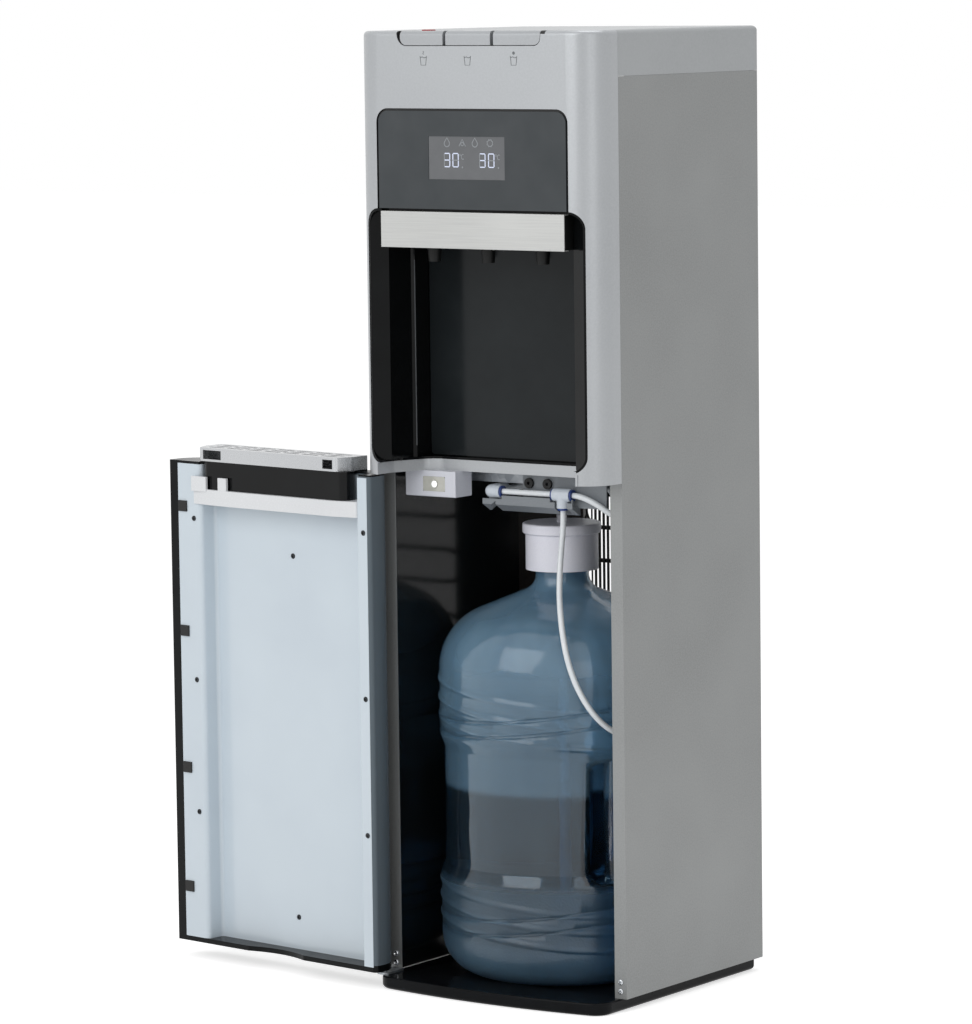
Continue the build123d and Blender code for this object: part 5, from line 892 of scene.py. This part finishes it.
@dataclass
class ScrewSet:
    """Pan-head screws with a cross recess, in place of the CAD model's plain heads."""

    node: str
    body: str
    slot: str
    head_radius: float
    head_height: float
    turn_deg: float = 0.0
    finish: Finish = SCREW_STEEL
    segments: int = 20
    driven_turn: float = 6.283
    seed: int = 7

    def blank(self) -> bpy.types.Object:
        """Turns one head without its recess.

        Returns:
            the head.
        """
        mesh = bmesh.new()
        turns = [2 * math.pi * k / self.segments for k in range(self.segments)]
        rings: list[list[bmesh.types.BMVert]] = []
        for across, up in HEAD_OUTLINE:
            radius, z = across * self.head_radius, up * self.head_height
            if across == 0:
                rings.append([mesh.verts.new((0, 0, z))] * self.segments)
                continue
            rings.append([mesh.verts.new((radius * math.cos(t), radius * math.sin(t), z)) for t in turns])
        for low, high in zip(rings, rings[1:]):
            for k in range(self.segments):
                n = (k + 1) % self.segments
                mesh.faces.new(list(dict.fromkeys((low[k], low[n], high[n], high[k]))))
        return to_object(f"{self.node}_head", mesh, self.finish, smooth=True)

    def head(self) -> bpy.types.Object:
        """Makes one screw head that points along +Z, on the plane of its seat.

        Returns:
            the head, hidden, for instancing.
        """
        head = self.blank()
        length, width = RECESS_LENGTH * self.head_radius, RECESS_WIDTH * self.head_radius
        top, foot = RECESS_TOP * self.head_height, RECESS_FOOT * self.head_height
        inner = RECESS_TAPER * length
        cut = bmesh.new()
        for turn in (0.0, math.pi / 2):
            arm = Matrix.Rotation(turn, 3, "Z")
            corners = ((-length, top), (length, top), (inner, foot), (-inner, foot))
            ends = [arm @ Vector((x, -width, z)) for x, z in corners]
            prism(cut, ends, arm @ Vector((0, 2 * width, 0)))
        cross = to_object(f"{self.node}_recess", cut, self.finish)
        carve = head.modifiers.new("cross_recess", "BOOLEAN")
        carve.operation = "DIFFERENCE"
        carve.solver = "EXACT"
        carve.use_self = True
        carve.object = cross
        carved = evaluated(head)
        head.modifiers.clear()
        head.data = carved
        bpy.data.objects.remove(cross)
        head.hide_render = True
        return head

    def seats(self, node: bpy.types.Object) -> tuple[list[Vector], list[Vector]]:
        """Finds where the CAD model's screws are.

        Args:
            node: the CAD node that holds them.
        Returns:
            the seat and the outward direction of each screw.
        """
        mesh = merged(node.data)
        turned = Matrix.Rotation(math.radians(self.turn_deg), 3, "Z")
        bmesh.ops.rotate(mesh, verts=mesh.verts, cent=(0, 0, 0), matrix=turned.transposed())
        places, outward = [], []
        for shell in islands(mesh):
            group = [vert.co for vert in shell]
            low = Vector(min(p[k] for p in group) for k in range(3))
            high = Vector(max(p[k] for p in group) for k in range(3))
            middle, spans = (low + high) / 2, high - low
            axis = max(range(3), key=lambda k: spans[k])
            flat = [k for k in range(3) if k != axis]
            edge = RIM_SHARE * self.head_radius
            rim = [p for p in group if math.hypot(*(p[k] - middle[k] for k in flat)) > edge]
            level = sum(p[axis] for p in rim) / len(rim)
            way = 1.0 if level > middle[axis] else -1.0
            seat = middle.copy()
            seat[axis] = min(p[axis] * way for p in rim) * way
            direction = Vector((0, 0, 0))
            direction[axis] = way
            places.append(turned @ seat)
            outward.append(turned @ direction)
        mesh.free()
        return places, outward

    def spread(self) -> tuple[bpy.types.NodeTree, str, str]:
        """Builds the tree that sets a head on each seat, turned as far as it was driven.

        Returns:
            the tree, and the identifiers of its inputs for the head and for the most that it is turned.
        """
        tree = bpy.data.node_groups.new(f"{self.node}_on_seats", "GeometryNodeTree")
        sockets = tree.interface
        sockets.new_socket("Geometry", in_out="INPUT", socket_type="NodeSocketGeometry")
        head_input = sockets.new_socket("Screw Head", in_out="INPUT", socket_type="NodeSocketObject")
        turn_input = sockets.new_socket("Driven Turn", in_out="INPUT", socket_type="NodeSocketFloat")
        sockets.new_socket("Geometry", in_out="OUTPUT", socket_type="NodeSocketGeometry")
        given = add(tree, "NodeGroupInput").outputs
        named = {"Name": "outward"}
        way = add(tree, "GeometryNodeInputNamedAttribute", named, data_type="FLOAT_VECTOR").outputs[0]
        aligned = add(tree, "FunctionNodeAlignRotationToVector", {"Vector": way}, axis="Z").outputs[0]
        turns = {2: 0.0, 3: given["Driven Turn"], "Seed": self.seed}
        spin = add(tree, "FunctionNodeRandomValue", turns, data_type="FLOAT").outputs[1]
        about = {"Axis": (0.0, 0.0, 1.0), "Angle": spin}
        driven = add(tree, "FunctionNodeAxisAngleToRotation", about).outputs[0]
        both = {"Rotation": aligned, "Rotate By": driven}
        turned = add(tree, "FunctionNodeRotateRotation", both, rotation_space="LOCAL").outputs[0]
        source = {"Object": given["Screw Head"]}
        shape = add(tree, "GeometryNodeObjectInfo", source, transform_space="ORIGINAL").outputs["Geometry"]
        placing = {"Points": given[0], "Instance": shape, "Rotation": turned}
        placed = add(tree, "GeometryNodeInstanceOnPoints", placing).outputs[0]
        solid = add(tree, "GeometryNodeRealizeInstances", {0: placed}).outputs[0]
        dressed = {"Geometry": solid, "Material": self.finish.material()}
        steel = add(tree, "GeometryNodeSetMaterial", dressed).outputs[0]
        add(tree, "NodeGroupOutput", {0: steel})
        return tree, head_input.identifier, turn_input.identifier

    def build(self, nodes: Nodes) -> bpy.types.Object:
        """Sets one head on each seat with Geometry Nodes.

        Args:
            nodes: the frame's nodes by name.
        Returns:
            all the heads as one mesh.
        """
        places, outward = self.seats(nodes[self.node])
        data = bpy.data.meshes.new(f"{self.node}_seats")
        data.from_pydata(places, [], [])
        ways = data.attributes.new("outward", "FLOAT_VECTOR", "POINT")
        ways.data.foreach_set("vector", [c for d in outward for c in d])
        seats = link(f"{self.node}_crossed", data)
        head = self.head()
        tree, head_input, turn_input = self.spread()
        spread = seats.modifiers.new("heads_on_seats", "NODES")
        spread.node_group = tree
        spread[head_input] = head
        spread[turn_input] = self.driven_turn
        made = evaluated(seats)
        seats.modifiers.clear()
        seats.data = made
        bpy.data.objects.remove(head)
        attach(seats, self.body)
        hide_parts(self.node)
        LOG.info("piece %s: %d screws", seats.name, len(places))
        return seats


# ------------------------------------------------------------ the display
class Segment(Enum):
    """The seven bars of a numeral: x and z of the middle, in half widths and half heights, and if upright."""

    TOP = (0, 1, False)
    MIDDLE = (0, 0, False)
    BOTTOM = (0, -1, False)
    TOP_LEFT = (-1, 0.5, True)
    TOP_RIGHT = (1, 0.5, True)
    BOTTOM_LEFT = (-1, -0.5, True)
    BOTTOM_RIGHT = (1, -0.5, True)


# The bars that each numeral leaves unlit.
UNLIT = {3: {Segment.TOP_LEFT, Segment.BOTTOM_LEFT}, 0: {Segment.MIDDLE}}


@dataclass
class Display:
    """The fascia's window with two lit temperatures, their degree marks and four status symbols.

    Its sizes are in millimetres.
    """

    numerals: tuple[tuple[float, int], ...] = ((-31.2, 3), (-20.2, 0), (14.3, 3), (25.7, 0))
    numeral_z: float = 900.0
    numeral_width: float = 7.0
    numeral_height: float = 14.0
    bar_width: float = 1.15
    bar_gap_share: float = 0.55
    bar_tip_share: float = 0.4
    symbol_xs: tuple[float, ...] = (-31.2, -11.4, 4.8, 24.2)
    symbol_z: float = 918.2
    symbol_line: float = 1.1
    drop_radius: float = 3.4
    drop_low: float = -0.8
    drop_tip: float = 5.2
    peak: tuple[Point2, ...] = ((-4.2, -3.6), (0.0, 3.8), (4.2, -3.6))
    star_radius: float = 3.1
    star_ray: float = 0.9
    star_points: int = 16
    ring_across: float = 3.4
    ring_up: float = 3.6
    ring_low: float = -0.4
    ring_points: int = 24
    ring_line: float = 0.9
    flame_share: float = 0.5
    flame_drop: float = 1.0
    degree_xs: tuple[float, ...] = (-12.6, 33.6)
    degree_share: float = 0.26
    degree_place: Point2 = (-1.8, 905.6)
    degree_line: float = 0.6
    unit_across: float = 1.9
    unit_up: float = 2.6
    unit_place: Point2 = (1.8, 903.6)
    dot_share: float = 0.16
    dot_place: Point2 = (1.2, 892.6)
    proud: float = 0.12
    depth: float = 0.3

    def bar(self, mesh: bmesh.types.BMesh, surface: BVHTree, x: float, segment: Segment) -> None:
        """Adds one bar of a numeral.

        Args:
            mesh: what it is added to.
            surface: the window's surface.
            x: the numeral's middle, in millimetres.
            segment: which bar.
        """
        across, up, upright = segment.value
        cx = x + across * self.numeral_width / 2
        cz = self.numeral_z + up * self.numeral_height / 2
        span = self.numeral_height / 4 if upright else self.numeral_width / 2
        run = span - self.bar_gap_share * self.bar_width
        half, tip = self.bar_width / 2, run + self.bar_tip_share * self.bar_width
        shape = [(-tip, 0), (-run, -half), (run, -half), (tip, 0), (run, half), (-run, half)]
        front = on_front(surface, cx * MM, cz * MM, self.proud * MM).y
        points = [(cx + b, cz + a) if upright else (cx + a, cz + b) for a, b in shape]
        corners = [Vector((px * MM, front, pz * MM)) for px, pz in points]
        prism(mesh, corners, Vector((0, self.depth * MM, 0)))

    def strokes(self) -> list[Stroke]:
        """Draws the status symbols and the marks beside the numerals.

        Returns:
            their lines.
        """
        ring = arc(self.ring_across, self.ring_up, whole_turn(self.ring_points), self.ring_low)
        round_part = arc(self.drop_radius, self.drop_radius, range(40, -221, -20), self.drop_low)
        drop = [(0.0, self.drop_tip), *round_part]
        star = []
        for k in range(self.star_points):
            reach = self.star_radius + self.star_ray * (k % 2)
            star += arc(reach, reach, [360.0 * k / self.star_points])
        symbols = ((drop, True), (self.peak, False), (drop, True), (star, True))
        lines = []
        for x, (line, closed) in zip(self.symbol_xs, symbols):
            lines.append(Stroke(x, self.symbol_z, line, self.symbol_line, closed))
        flame = scaled(ring, self.flame_share)
        lines.append(Stroke(self.symbol_xs[1], self.symbol_z - self.flame_drop, flame, self.ring_line, True))
        unit = arc(self.unit_across, self.unit_up, range(50, 311, 26))
        for x in self.degree_xs:
            for place, line, width, closed in (
                (self.degree_place, scaled(ring, self.degree_share), self.degree_line, True),
                (self.unit_place, unit, self.ring_line, False),
                (self.dot_place, scaled(ring, self.dot_share), self.ring_line, True),
            ):
                lines.append(Stroke(x + place[0], place[1], line, width, closed))
        return lines

    def build(self, nodes: Nodes) -> None:
        """Builds the lit numerals and the dim marks, and dresses the fascia.

        Args:
            nodes: the frame's nodes by name.
        """
        surface = skin(nodes["display_window"])
        lit, dim = bmesh.new(), bmesh.new()
        for x, number in self.numerals:
            for segment in Segment:
                self.bar(dim if segment in UNLIT[number] else lit, surface, x, segment)
        for stroke in self.strokes():
            stroke.draw(dim, surface, self.proud, self.depth)
        marks = (("display_lit_numerals", lit, DISPLAY_LIT), ("display_dim_marks", dim, DISPLAY_DIM))
        for name, mesh, finish in marks:
            piece = to_object(name, mesh, finish)
            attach(piece, "cabinet")
        dress(nodes, GRAPHITE, "display_fascia")
        dress(nodes, SMOKE_WINDOW, "display_window")
        dress(nodes, CIRCUIT_GREEN, "display_board")


# ------------------------------------------------------------ the head
@dataclass
class DispensingHead:
    """The silver head with its push buttons, spouts and alcove, and the cups printed below the buttons.

    Its sizes are in millimetres. The wave, the steam and the drop are placed from the cup's rim.
    """

    cup_xs: tuple[float, ...] = (-60.2, -3.2, 55.9)
    cup_z: float = 1004.2
    cup_top: float = 4.2
    cup_foot: float = 3.0
    cup_height: float = 9.6
    wave: tuple[Point2, ...] = ((-3.78, -1.6), (-1.2, -0.9), (1.2, -2.0), (3.78, -1.2))
    steam: tuple[Point2, ...] = ((0.5, 1.6), (-0.6, 2.8), (0.6, 4.0), (-0.2, 5.2))
    drop_radius: float = 1.7
    drop_rise: float = 3.0
    drop_points: int = 16
    drop_depth: float = 0.25
    line_width: float = 0.8
    proud: float = 0.08
    depth: float = 0.2

    def cups(self, surface: BVHTree) -> bpy.types.Object:
        """Prints the three cups: steaming, plain and with a drop.

        Args:
            surface: the head's surface.
        Returns:
            the print.
        """
        mesh = bmesh.new()
        rim = self.cup_height / 2
        cup = [(-self.cup_top, rim), (-self.cup_foot, -rim), (self.cup_foot, -rim), (self.cup_top, rim)]
        wave = [(x, rim + z) for x, z in self.wave]
        steam = [(x, rim + z) for x, z in self.steam]
        lines = [(x, cup) for x in self.cup_xs] + [(x, wave) for x in self.cup_xs]
        for x, line in [*lines, (self.cup_xs[0], steam)]:
            Stroke(x, self.cup_z, line, self.line_width).draw(mesh, surface, self.proud, self.depth)
        height = (self.cup_z + rim + self.drop_rise) * MM
        centre = on_front(surface, self.cup_xs[2] * MM, height, self.proud * MM)
        disc = scaled(arc(self.drop_radius, self.drop_radius, whole_turn(self.drop_points)), MM)
        prism(mesh, [centre + Vector((x, 0, z)) for x, z in disc], Vector((0, self.drop_depth * MM, 0)))
        piece = to_object("cup_print", mesh, PRINT_GREY)
        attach(piece, "cabinet")
        return piece

    def build(self, nodes: Nodes) -> None:
        """Prints the cups and dresses the head.

        Args:
            nodes: the frame's nodes by name.
        """
        self.cups(skin(nodes["head_shell"]))
        dress(nodes, SILVER_HEAD, "head_shell")
        dress(nodes, SILVER_LID, "top_cover")
        dress(nodes, SILVER_BUTTON, "hot_button", "room_button", "cold_button")
        dress(nodes, LATCH_RED, "child_lock_slider")
        dress(nodes, BLACK_TEXTURED, "button_switches", "nozzle_carrier")
        dress(nodes, BLACK_TEXTURED, "hot_nozzle", "room_nozzle", "cold_nozzle")
        dress(nodes, BAR_SILVER, "spout_bar")
        dress(nodes, ALCOVE_BLACK, "alcove_liner")
        dress(nodes, ALCOVE_BACK, "alcove_back_panel")


# ------------------------------------------------------------ the cabinet
@dataclass
class Cabinet:
    """The sheet metal cabinet, the machines inside it and the condenser behind it."""

    foot_inner: float = 0.1465
    foot_inset: float = 1.0 * MM
    foot_front: float = -0.1008
    foot_rear: float = 0.160
    foot_low: float = 0.01405
    foot_thickness: float = 0.8 * MM
    screws: ScrewSet = field(
        default_factory=lambda: ScrewSet("cabinet_screws", "cabinet", "screw_steel", 3.3 * MM, 1.8 * MM)
    )

    def feet(self, nodes: Nodes) -> bpy.types.Object:
        """Folds the side sheets' lower edges in over the base, so no light shows under them.

        Args:
            nodes: the frame's nodes by name.
        Returns:
            both folds.
        """
        mesh = bmesh.new()
        inner, front, rear = self.foot_inner, self.foot_front, self.foot_rear
        outer = max(v.co.x for v in nodes["side_panel_right"].data.vertices) - self.foot_inset
        corners = ((inner, front), (outer, front), (outer, rear), (inner, rear))
        for side in (-1, 1):
            outline = [Vector((side * x, y, self.foot_low)) for x, y in corners]
            prism(mesh, outline, Vector((0, 0, self.foot_thickness)))
        piece = to_object("panel_foot_folds", mesh, DARK_STEEL)
        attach(piece, "cabinet")
        return piece

    def build(self, nodes: Nodes) -> None:
        """Sets the screws and dresses the cabinet.

        Args:
            nodes: the frame's nodes by name.
        """
        self.screws.build(nodes)
        self.feet(nodes)
        dress(nodes, PIANO_BLACK, "base_tray")
        dress(nodes, SILVER_PANEL, "side_panel_left", "side_panel_right")
        dress(nodes, GALVANISED, "deck_plate", "rear_panel", "condenser_clips", "hinge_brackets")
        dress(nodes, DARK_STEEL, "compartment_back")
        dress(nodes, COIL_BLACK, "condenser_coil", "condenser_wires")
        dress(nodes, COMPRESSOR_BLACK, "compressor")
        dress(nodes, RUBBER_BLACK, "compressor_mounts")
        dress(nodes, STAINLESS, "cold_tank", "hot_tank")
        dress(nodes, FOAM, "cold_tank_jacket")
        dress(nodes, COPPER, "refrigerant_lines")
        dress(nodes, BLACK_TEXTURED, "pump", "dispense_valves")
        dress(nodes, SWITCH_RED, "heat_switch")
        dress(nodes, SWITCH_GREEN, "cool_switch")
        dress(nodes, WHITE_ABS, "drain_cap")


# ------------------------------------------------------------ the bottle bay
@dataclass
class BottleBay:
    """The bottle with its water, the probe cap, the fittings above it and the bay's lamp.

    Its sizes are in metres. The swirl's scale gives streaks about 45 mm wide and three times as tall,
    and the grit's gives grains of 2.4 mm, coarser than the real ones so that they show.
    """

    water_level: float = 0.222
    water_gap: float = 0.3 * MM
    water_colours: tuple[str, str] = ("6F8FA4", "5D7D93")
    water_rough: float = 0.02
    water_ior: float = 1.33
    wave_scale: float = 30.0
    wave_bump: float = 1.0 * MM
    wave_strength: float = 0.2
    wall_colours: tuple[str, str] = ("A6CAE0", "739DBB")
    wall_ior: float = 1.5
    swirl_scale: float = 22.0
    swirl_stretch: Point3 = (1.0, 1.0, 0.35)
    swirl_bump: float = 4.0 * MM
    swirl_strength: float = 0.5
    grit_scale: float = 420.0
    grit_bump: float = 0.5 * MM
    grit_strength: float = 0.8
    frost_top: float = 0.128
    frost_fade: float = 0.012
    frost_haze: float = 0.3
    frost_rough: float = 0.3
    fog_rise: float = 0.004
    fog_rough: tuple[float, float] = (0.02, 0.12)
    clearness: tuple[float, float] = (0.98, 0.79)
    mist_foot: float = 0.28
    mist_top: float = 0.38
    mist_haze: float = 0.19
    heel_top: float = 0.062
    heel_foot: float = 0.03
    heel_haze: float = 0.14
    axis_y: float = 0.011
    rib_heights: tuple[float, ...] = (0.324, 0.304, 0.284, 0.104, 0.086, 0.067)
    rib_slope: float = -0.11
    rib_half: float = 5.0 * MM
    rib_depth: float = 1.8 * MM
    rib_steps: int = 4
    rib_least_radius: float = 0.120
    crease_angle: float = 40.0
    level_slope: float = 0.99
    led_shift: float = 1.5 * MM
    led_radius: float = 3.6 * MM
    led_rise: float = 1.4 * MM
    led_segments: int = 24

    def bottle_plastic(self) -> bpy.types.Material:
        """Makes the blown polycarbonate of the bottle: clear blue, with a grained wall towards the heel.

        Frost is the grained lower wall, fog the damp wall above the water, mist the milky shoulder and
        scuff the worn heel.

        Returns:
            the material.
        """
        made, tree, place = blank_material("blue_blown_polycarbonate")
        height = add(tree, "ShaderNodeSeparateXYZ", {0: place}).outputs["Z"]
        bands = {
            "frost": (self.frost_top, self.frost_top - self.frost_fade, 1.0),
            "fog": (self.water_level - self.fog_rise, self.water_level + self.fog_rise, 1.0),
            "mist": (self.mist_foot, self.mist_top, self.mist_haze),
            "scuff": (self.heel_top, self.heel_foot, self.heel_haze),
        }
        veils: dict[str, Socket] = {}
        for name, (start, stop, most) in bands.items():
            span = {"Value": height, "From Min": start, "From Max": stop, "To Max": most}
            veils[name] = add(tree, "ShaderNodeMapRange", span, clamp=True).outputs[0]
        frost, fog = veils["frost"], veils["fog"]
        grained = add(tree, "ShaderNodeMath", {0: frost, 1: self.frost_haze}, operation="MULTIPLY").outputs[0]
        haze = add(tree, "ShaderNodeMath", {0: fog, 1: grained}, operation="MAXIMUM").outputs[0]
        span = {"Value": haze, "To Min": self.clearness[0], "To Max": self.clearness[1]}
        clear = add(tree, "ShaderNodeMapRange", span, clamp=True).outputs[0]
        for name in ("mist", "scuff"):
            clear = add(tree, "ShaderNodeMath", {0: clear, 1: veils[name]}, operation="SUBTRACT").outputs[0]
        flow = add(tree, "ShaderNodeMapping", {"Vector": place, "Scale": self.swirl_stretch}).outputs[0]
        sizes = {"Vector": flow, "Scale": self.swirl_scale, "Detail": 2.0}
        swirl = add(tree, "ShaderNodeTexNoise", sizes).outputs["Fac"]
        sizes = {"Vector": place, "Scale": self.grit_scale, "Detail": 2.0}
        grit = add(tree, "ShaderNodeTexNoise", sizes).outputs["Fac"]
        colours = {0: swirl, 6: linear(self.wall_colours[0]), 7: linear(self.wall_colours[1])}
        tint = add(tree, "ShaderNodeMix", colours, data_type="RGBA").outputs[2]
        span = {"Value": fog, "To Min": self.fog_rough[0], "To Max": self.fog_rough[1]}
        misted = add(tree, "ShaderNodeMapRange", span, clamp=True).outputs[0]
        parts = {0: frost, 1: self.frost_rough, 2: misted}
        rough = add(tree, "ShaderNodeMath", parts, operation="MULTIPLY_ADD").outputs[0]
        grains = add(tree, "ShaderNodeMath", {0: grit, 1: frost}, operation="MULTIPLY").outputs[0]
        relief = {"Height": grains, "Strength": self.grit_strength, "Distance": self.grit_bump}
        bump = add(tree, "ShaderNodeBump", relief).outputs[0]
        relief = {"Height": swirl, "Strength": self.swirl_strength, "Distance": self.swirl_bump}
        ripple = add(tree, "ShaderNodeBump", {**relief, "Normal": bump}).outputs[0]
        inputs = {"Base Color": tint, "Roughness": rough, "Normal": ripple, "Transmission Weight": clear}
        shader = add(tree, "ShaderNodeBsdfPrincipled", {**inputs, "IOR": self.wall_ior})
        add(tree, "ShaderNodeOutputMaterial", {"Surface": shader.outputs[0]})
        return made

    def water_finish(self) -> bpy.types.Material:
        """Makes still drinking water: clear, with a slight ripple of its surface.

        Returns:
            the material.
        """
        made, tree, place = blank_material("still_drinking_water")
        sizes = {"Vector": place, "Scale": self.wave_scale, "Detail": 1.0}
        wave = add(tree, "ShaderNodeTexNoise", sizes).outputs["Fac"]
        colours = {0: wave, 6: linear(self.water_colours[0]), 7: linear(self.water_colours[1])}
        tint = add(tree, "ShaderNodeMix", colours, data_type="RGBA").outputs[2]
        relief = {"Height": wave, "Strength": self.wave_strength, "Distance": self.wave_bump}
        bump = add(tree, "ShaderNodeBump", relief).outputs[0]
        inputs = {"Base Color": tint, "Normal": bump, "Transmission Weight": 1.0}
        inputs.update({"Roughness": self.water_rough, "IOR": self.water_ior})
        shader = add(tree, "ShaderNodeBsdfPrincipled", inputs)
        add(tree, "ShaderNodeOutputMaterial", {"Surface": shader.outputs[0]})
        return made

    def shell(self, bottle: bpy.types.Object) -> bpy.types.Object:
        """Gives the bottle's wall the slanting ribs that stiffen its upper and lower bands.

        Args:
            bottle: the CAD bottle.
        Returns:
            the ribbed bottle, which stands for it.
        """
        mesh = merged(bottle.data)
        across = Vector((-self.rib_slope, 0, 1)).normalized()
        levels = [Vector((0, self.axis_y, z)) for z in self.rib_heights]
        for level in levels:
            for step in range(-self.rib_steps, self.rib_steps + 1):
                cut = level + across * (step * self.rib_half / self.rib_steps)
                geometry = mesh.verts[:] + mesh.edges[:] + mesh.faces[:]
                bmesh.ops.bisect_plane(mesh, geom=geometry, plane_co=cut, plane_no=across)
        for vert in mesh.verts:
            outward = Vector((vert.co.x, vert.co.y - self.axis_y, 0))
            if outward.length < self.rib_least_radius:
                continue
            away = min(abs((vert.co - level).dot(across)) for level in levels)
            if away < self.rib_half:
                rise = math.cos(math.pi * away / (2 * self.rib_half)) ** 2
                vert.co += outward.normalized() * self.rib_depth * rise
        for face in mesh.faces:
            face.smooth = True
        piece = to_piece("ribbed_bottle", mesh, self.bottle_plastic())
        piece.data.set_sharp_from_angle(angle=math.radians(self.crease_angle))
        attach(piece, "cabinet")
        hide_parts("bottle")
        return piece

    def water(self, bottle: bpy.types.Object) -> bpy.types.Object:
        """Fills the bottle's inside up to the water level.

        Args:
            bottle: the ribbed bottle.
        Returns:
            the water.
        """
        mesh = merged(bottle.data)
        geometry = mesh.verts[:] + mesh.edges[:] + mesh.faces[:]
        level = Vector((0, 0, self.water_level))
        bmesh.ops.bisect_plane(mesh, geom=geometry, plane_co=level, plane_no=(0, 0, 1), clear_outer=True)
        skins = sorted(islands(mesh), key=lambda shell: max(v.co.x for v in shell))
        LOG.info("bottle below the water level: %d skins", len(skins))
        for outer in skins[1:]:
            bmesh.ops.delete(mesh, geom=outer, context="VERTS")
        bmesh.ops.holes_fill(mesh, edges=[e for e in mesh.edges if e.is_boundary])
        bmesh.ops.recalc_face_normals(mesh, faces=mesh.faces)
        mesh.normal_update()
        for vert in mesh.verts:
            vert.co -= vert.normal * self.water_gap
        for face in mesh.faces:
            face.smooth = abs(face.normal.z) < self.level_slope
        piece = to_piece("bottle_water", mesh, self.water_finish())
        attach(piece, "cabinet")
        return piece

    def led(self) -> bpy.types.Object:
        """Sets the lamp's lit dome on its lens.

        Returns:
            the dome.
        """
        low, high = (Vector(corner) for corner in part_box("lamp_lens"))
        middle = Vector(((low.x + high.x) / 2 + self.led_shift, low.y, (low.z + high.z) / 2))
        count = self.led_segments
        mesh = bmesh.new()
        bmesh.ops.create_uvsphere(mesh, u_segments=count, v_segments=count // 2, radius=self.led_radius)
        for vert in mesh.verts:
            vert.co = middle + Vector((vert.co.x, vert.co.y * self.led_rise / self.led_radius, vert.co.z))
        piece = to_object("lamp_led_dome", mesh, LED_GLOW, smooth=True)
        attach(piece, "cabinet")
        return piece

    def build(self, nodes: Nodes) -> None:
        """Fills the bottle and dresses everything in the bay.

        Args:
            nodes: the frame's nodes by name.
        """
        self.water(self.shell(nodes["bottle"]))
        self.led()
        dress(nodes, CAP_LILAC, "probe_cap")
        dress(nodes, FITTING_WHITE, "elbow_fitting", "tee_fitting", "probe_tube")
        dress(nodes, COLLAR_BLUE, "fitting_collars")
        dress(nodes, TUBE_WHITE, "water_tubes", "feed_tube")
        dress(nodes, BRACKET_GREY, "pump_bracket")
        dress(nodes, RUBBER_BLACK, "pump_grommets")
        dress(nodes, WHITE_ABS, "lamp_housing")
        dress(nodes, LENS_CLEAR, "lamp_lens")


# ------------------------------------------------------------ the door
def liner_screws() -> ScrewSet:
    """Gives the screws of the door's liner, which stand turned by the door's angle."""
    return ScrewSet("door_screws", "door", "screw_steel", 3.0 * MM, 1.4 * MM, -187.3, SCREW_DARK)


@dataclass
class Door:
    """The swinging door with its pale liner, its shelf and the drip tray with its grate."""

    screws: ScrewSet = field(default_factory=liner_screws)

    def build(self, nodes: Nodes) -> None:
        """Sets the screws and dresses the door.

        Args:
            nodes: the frame's nodes by name.
        """
        self.screws.build(nodes)
        dress(nodes, DOOR_FRAME, "door_frame")
        dress(nodes, DOOR_STEEL, "door_steel_front")
        dress(nodes, LINER_PALE, "door_liner")
        dress(nodes, RUBBER_BLACK, "door_clips")
        dress(nodes, SHELF_WHITE, "tray_shelf")
        dress(nodes, TRAY_BLACK, "drip_tray")
        dress(nodes, GRATE_STEEL, "drip_grate")


def main() -> None:
    """Builds the scene: camera and hose first, then each sub-assembly in order."""
    logging.basicConfig(level=logging.INFO, format="%(message)s")
    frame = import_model()
    nodes = frame["nodes"]
    Studio().build()
    ProbeHose().build()
    for part in (Cabinet(), DispensingHead(), Display(), BottleBay(), Door()):
        part.build(nodes)
        LOG.info("%s built", type(part).__name__)


if __name__ == "__main__":
    main()
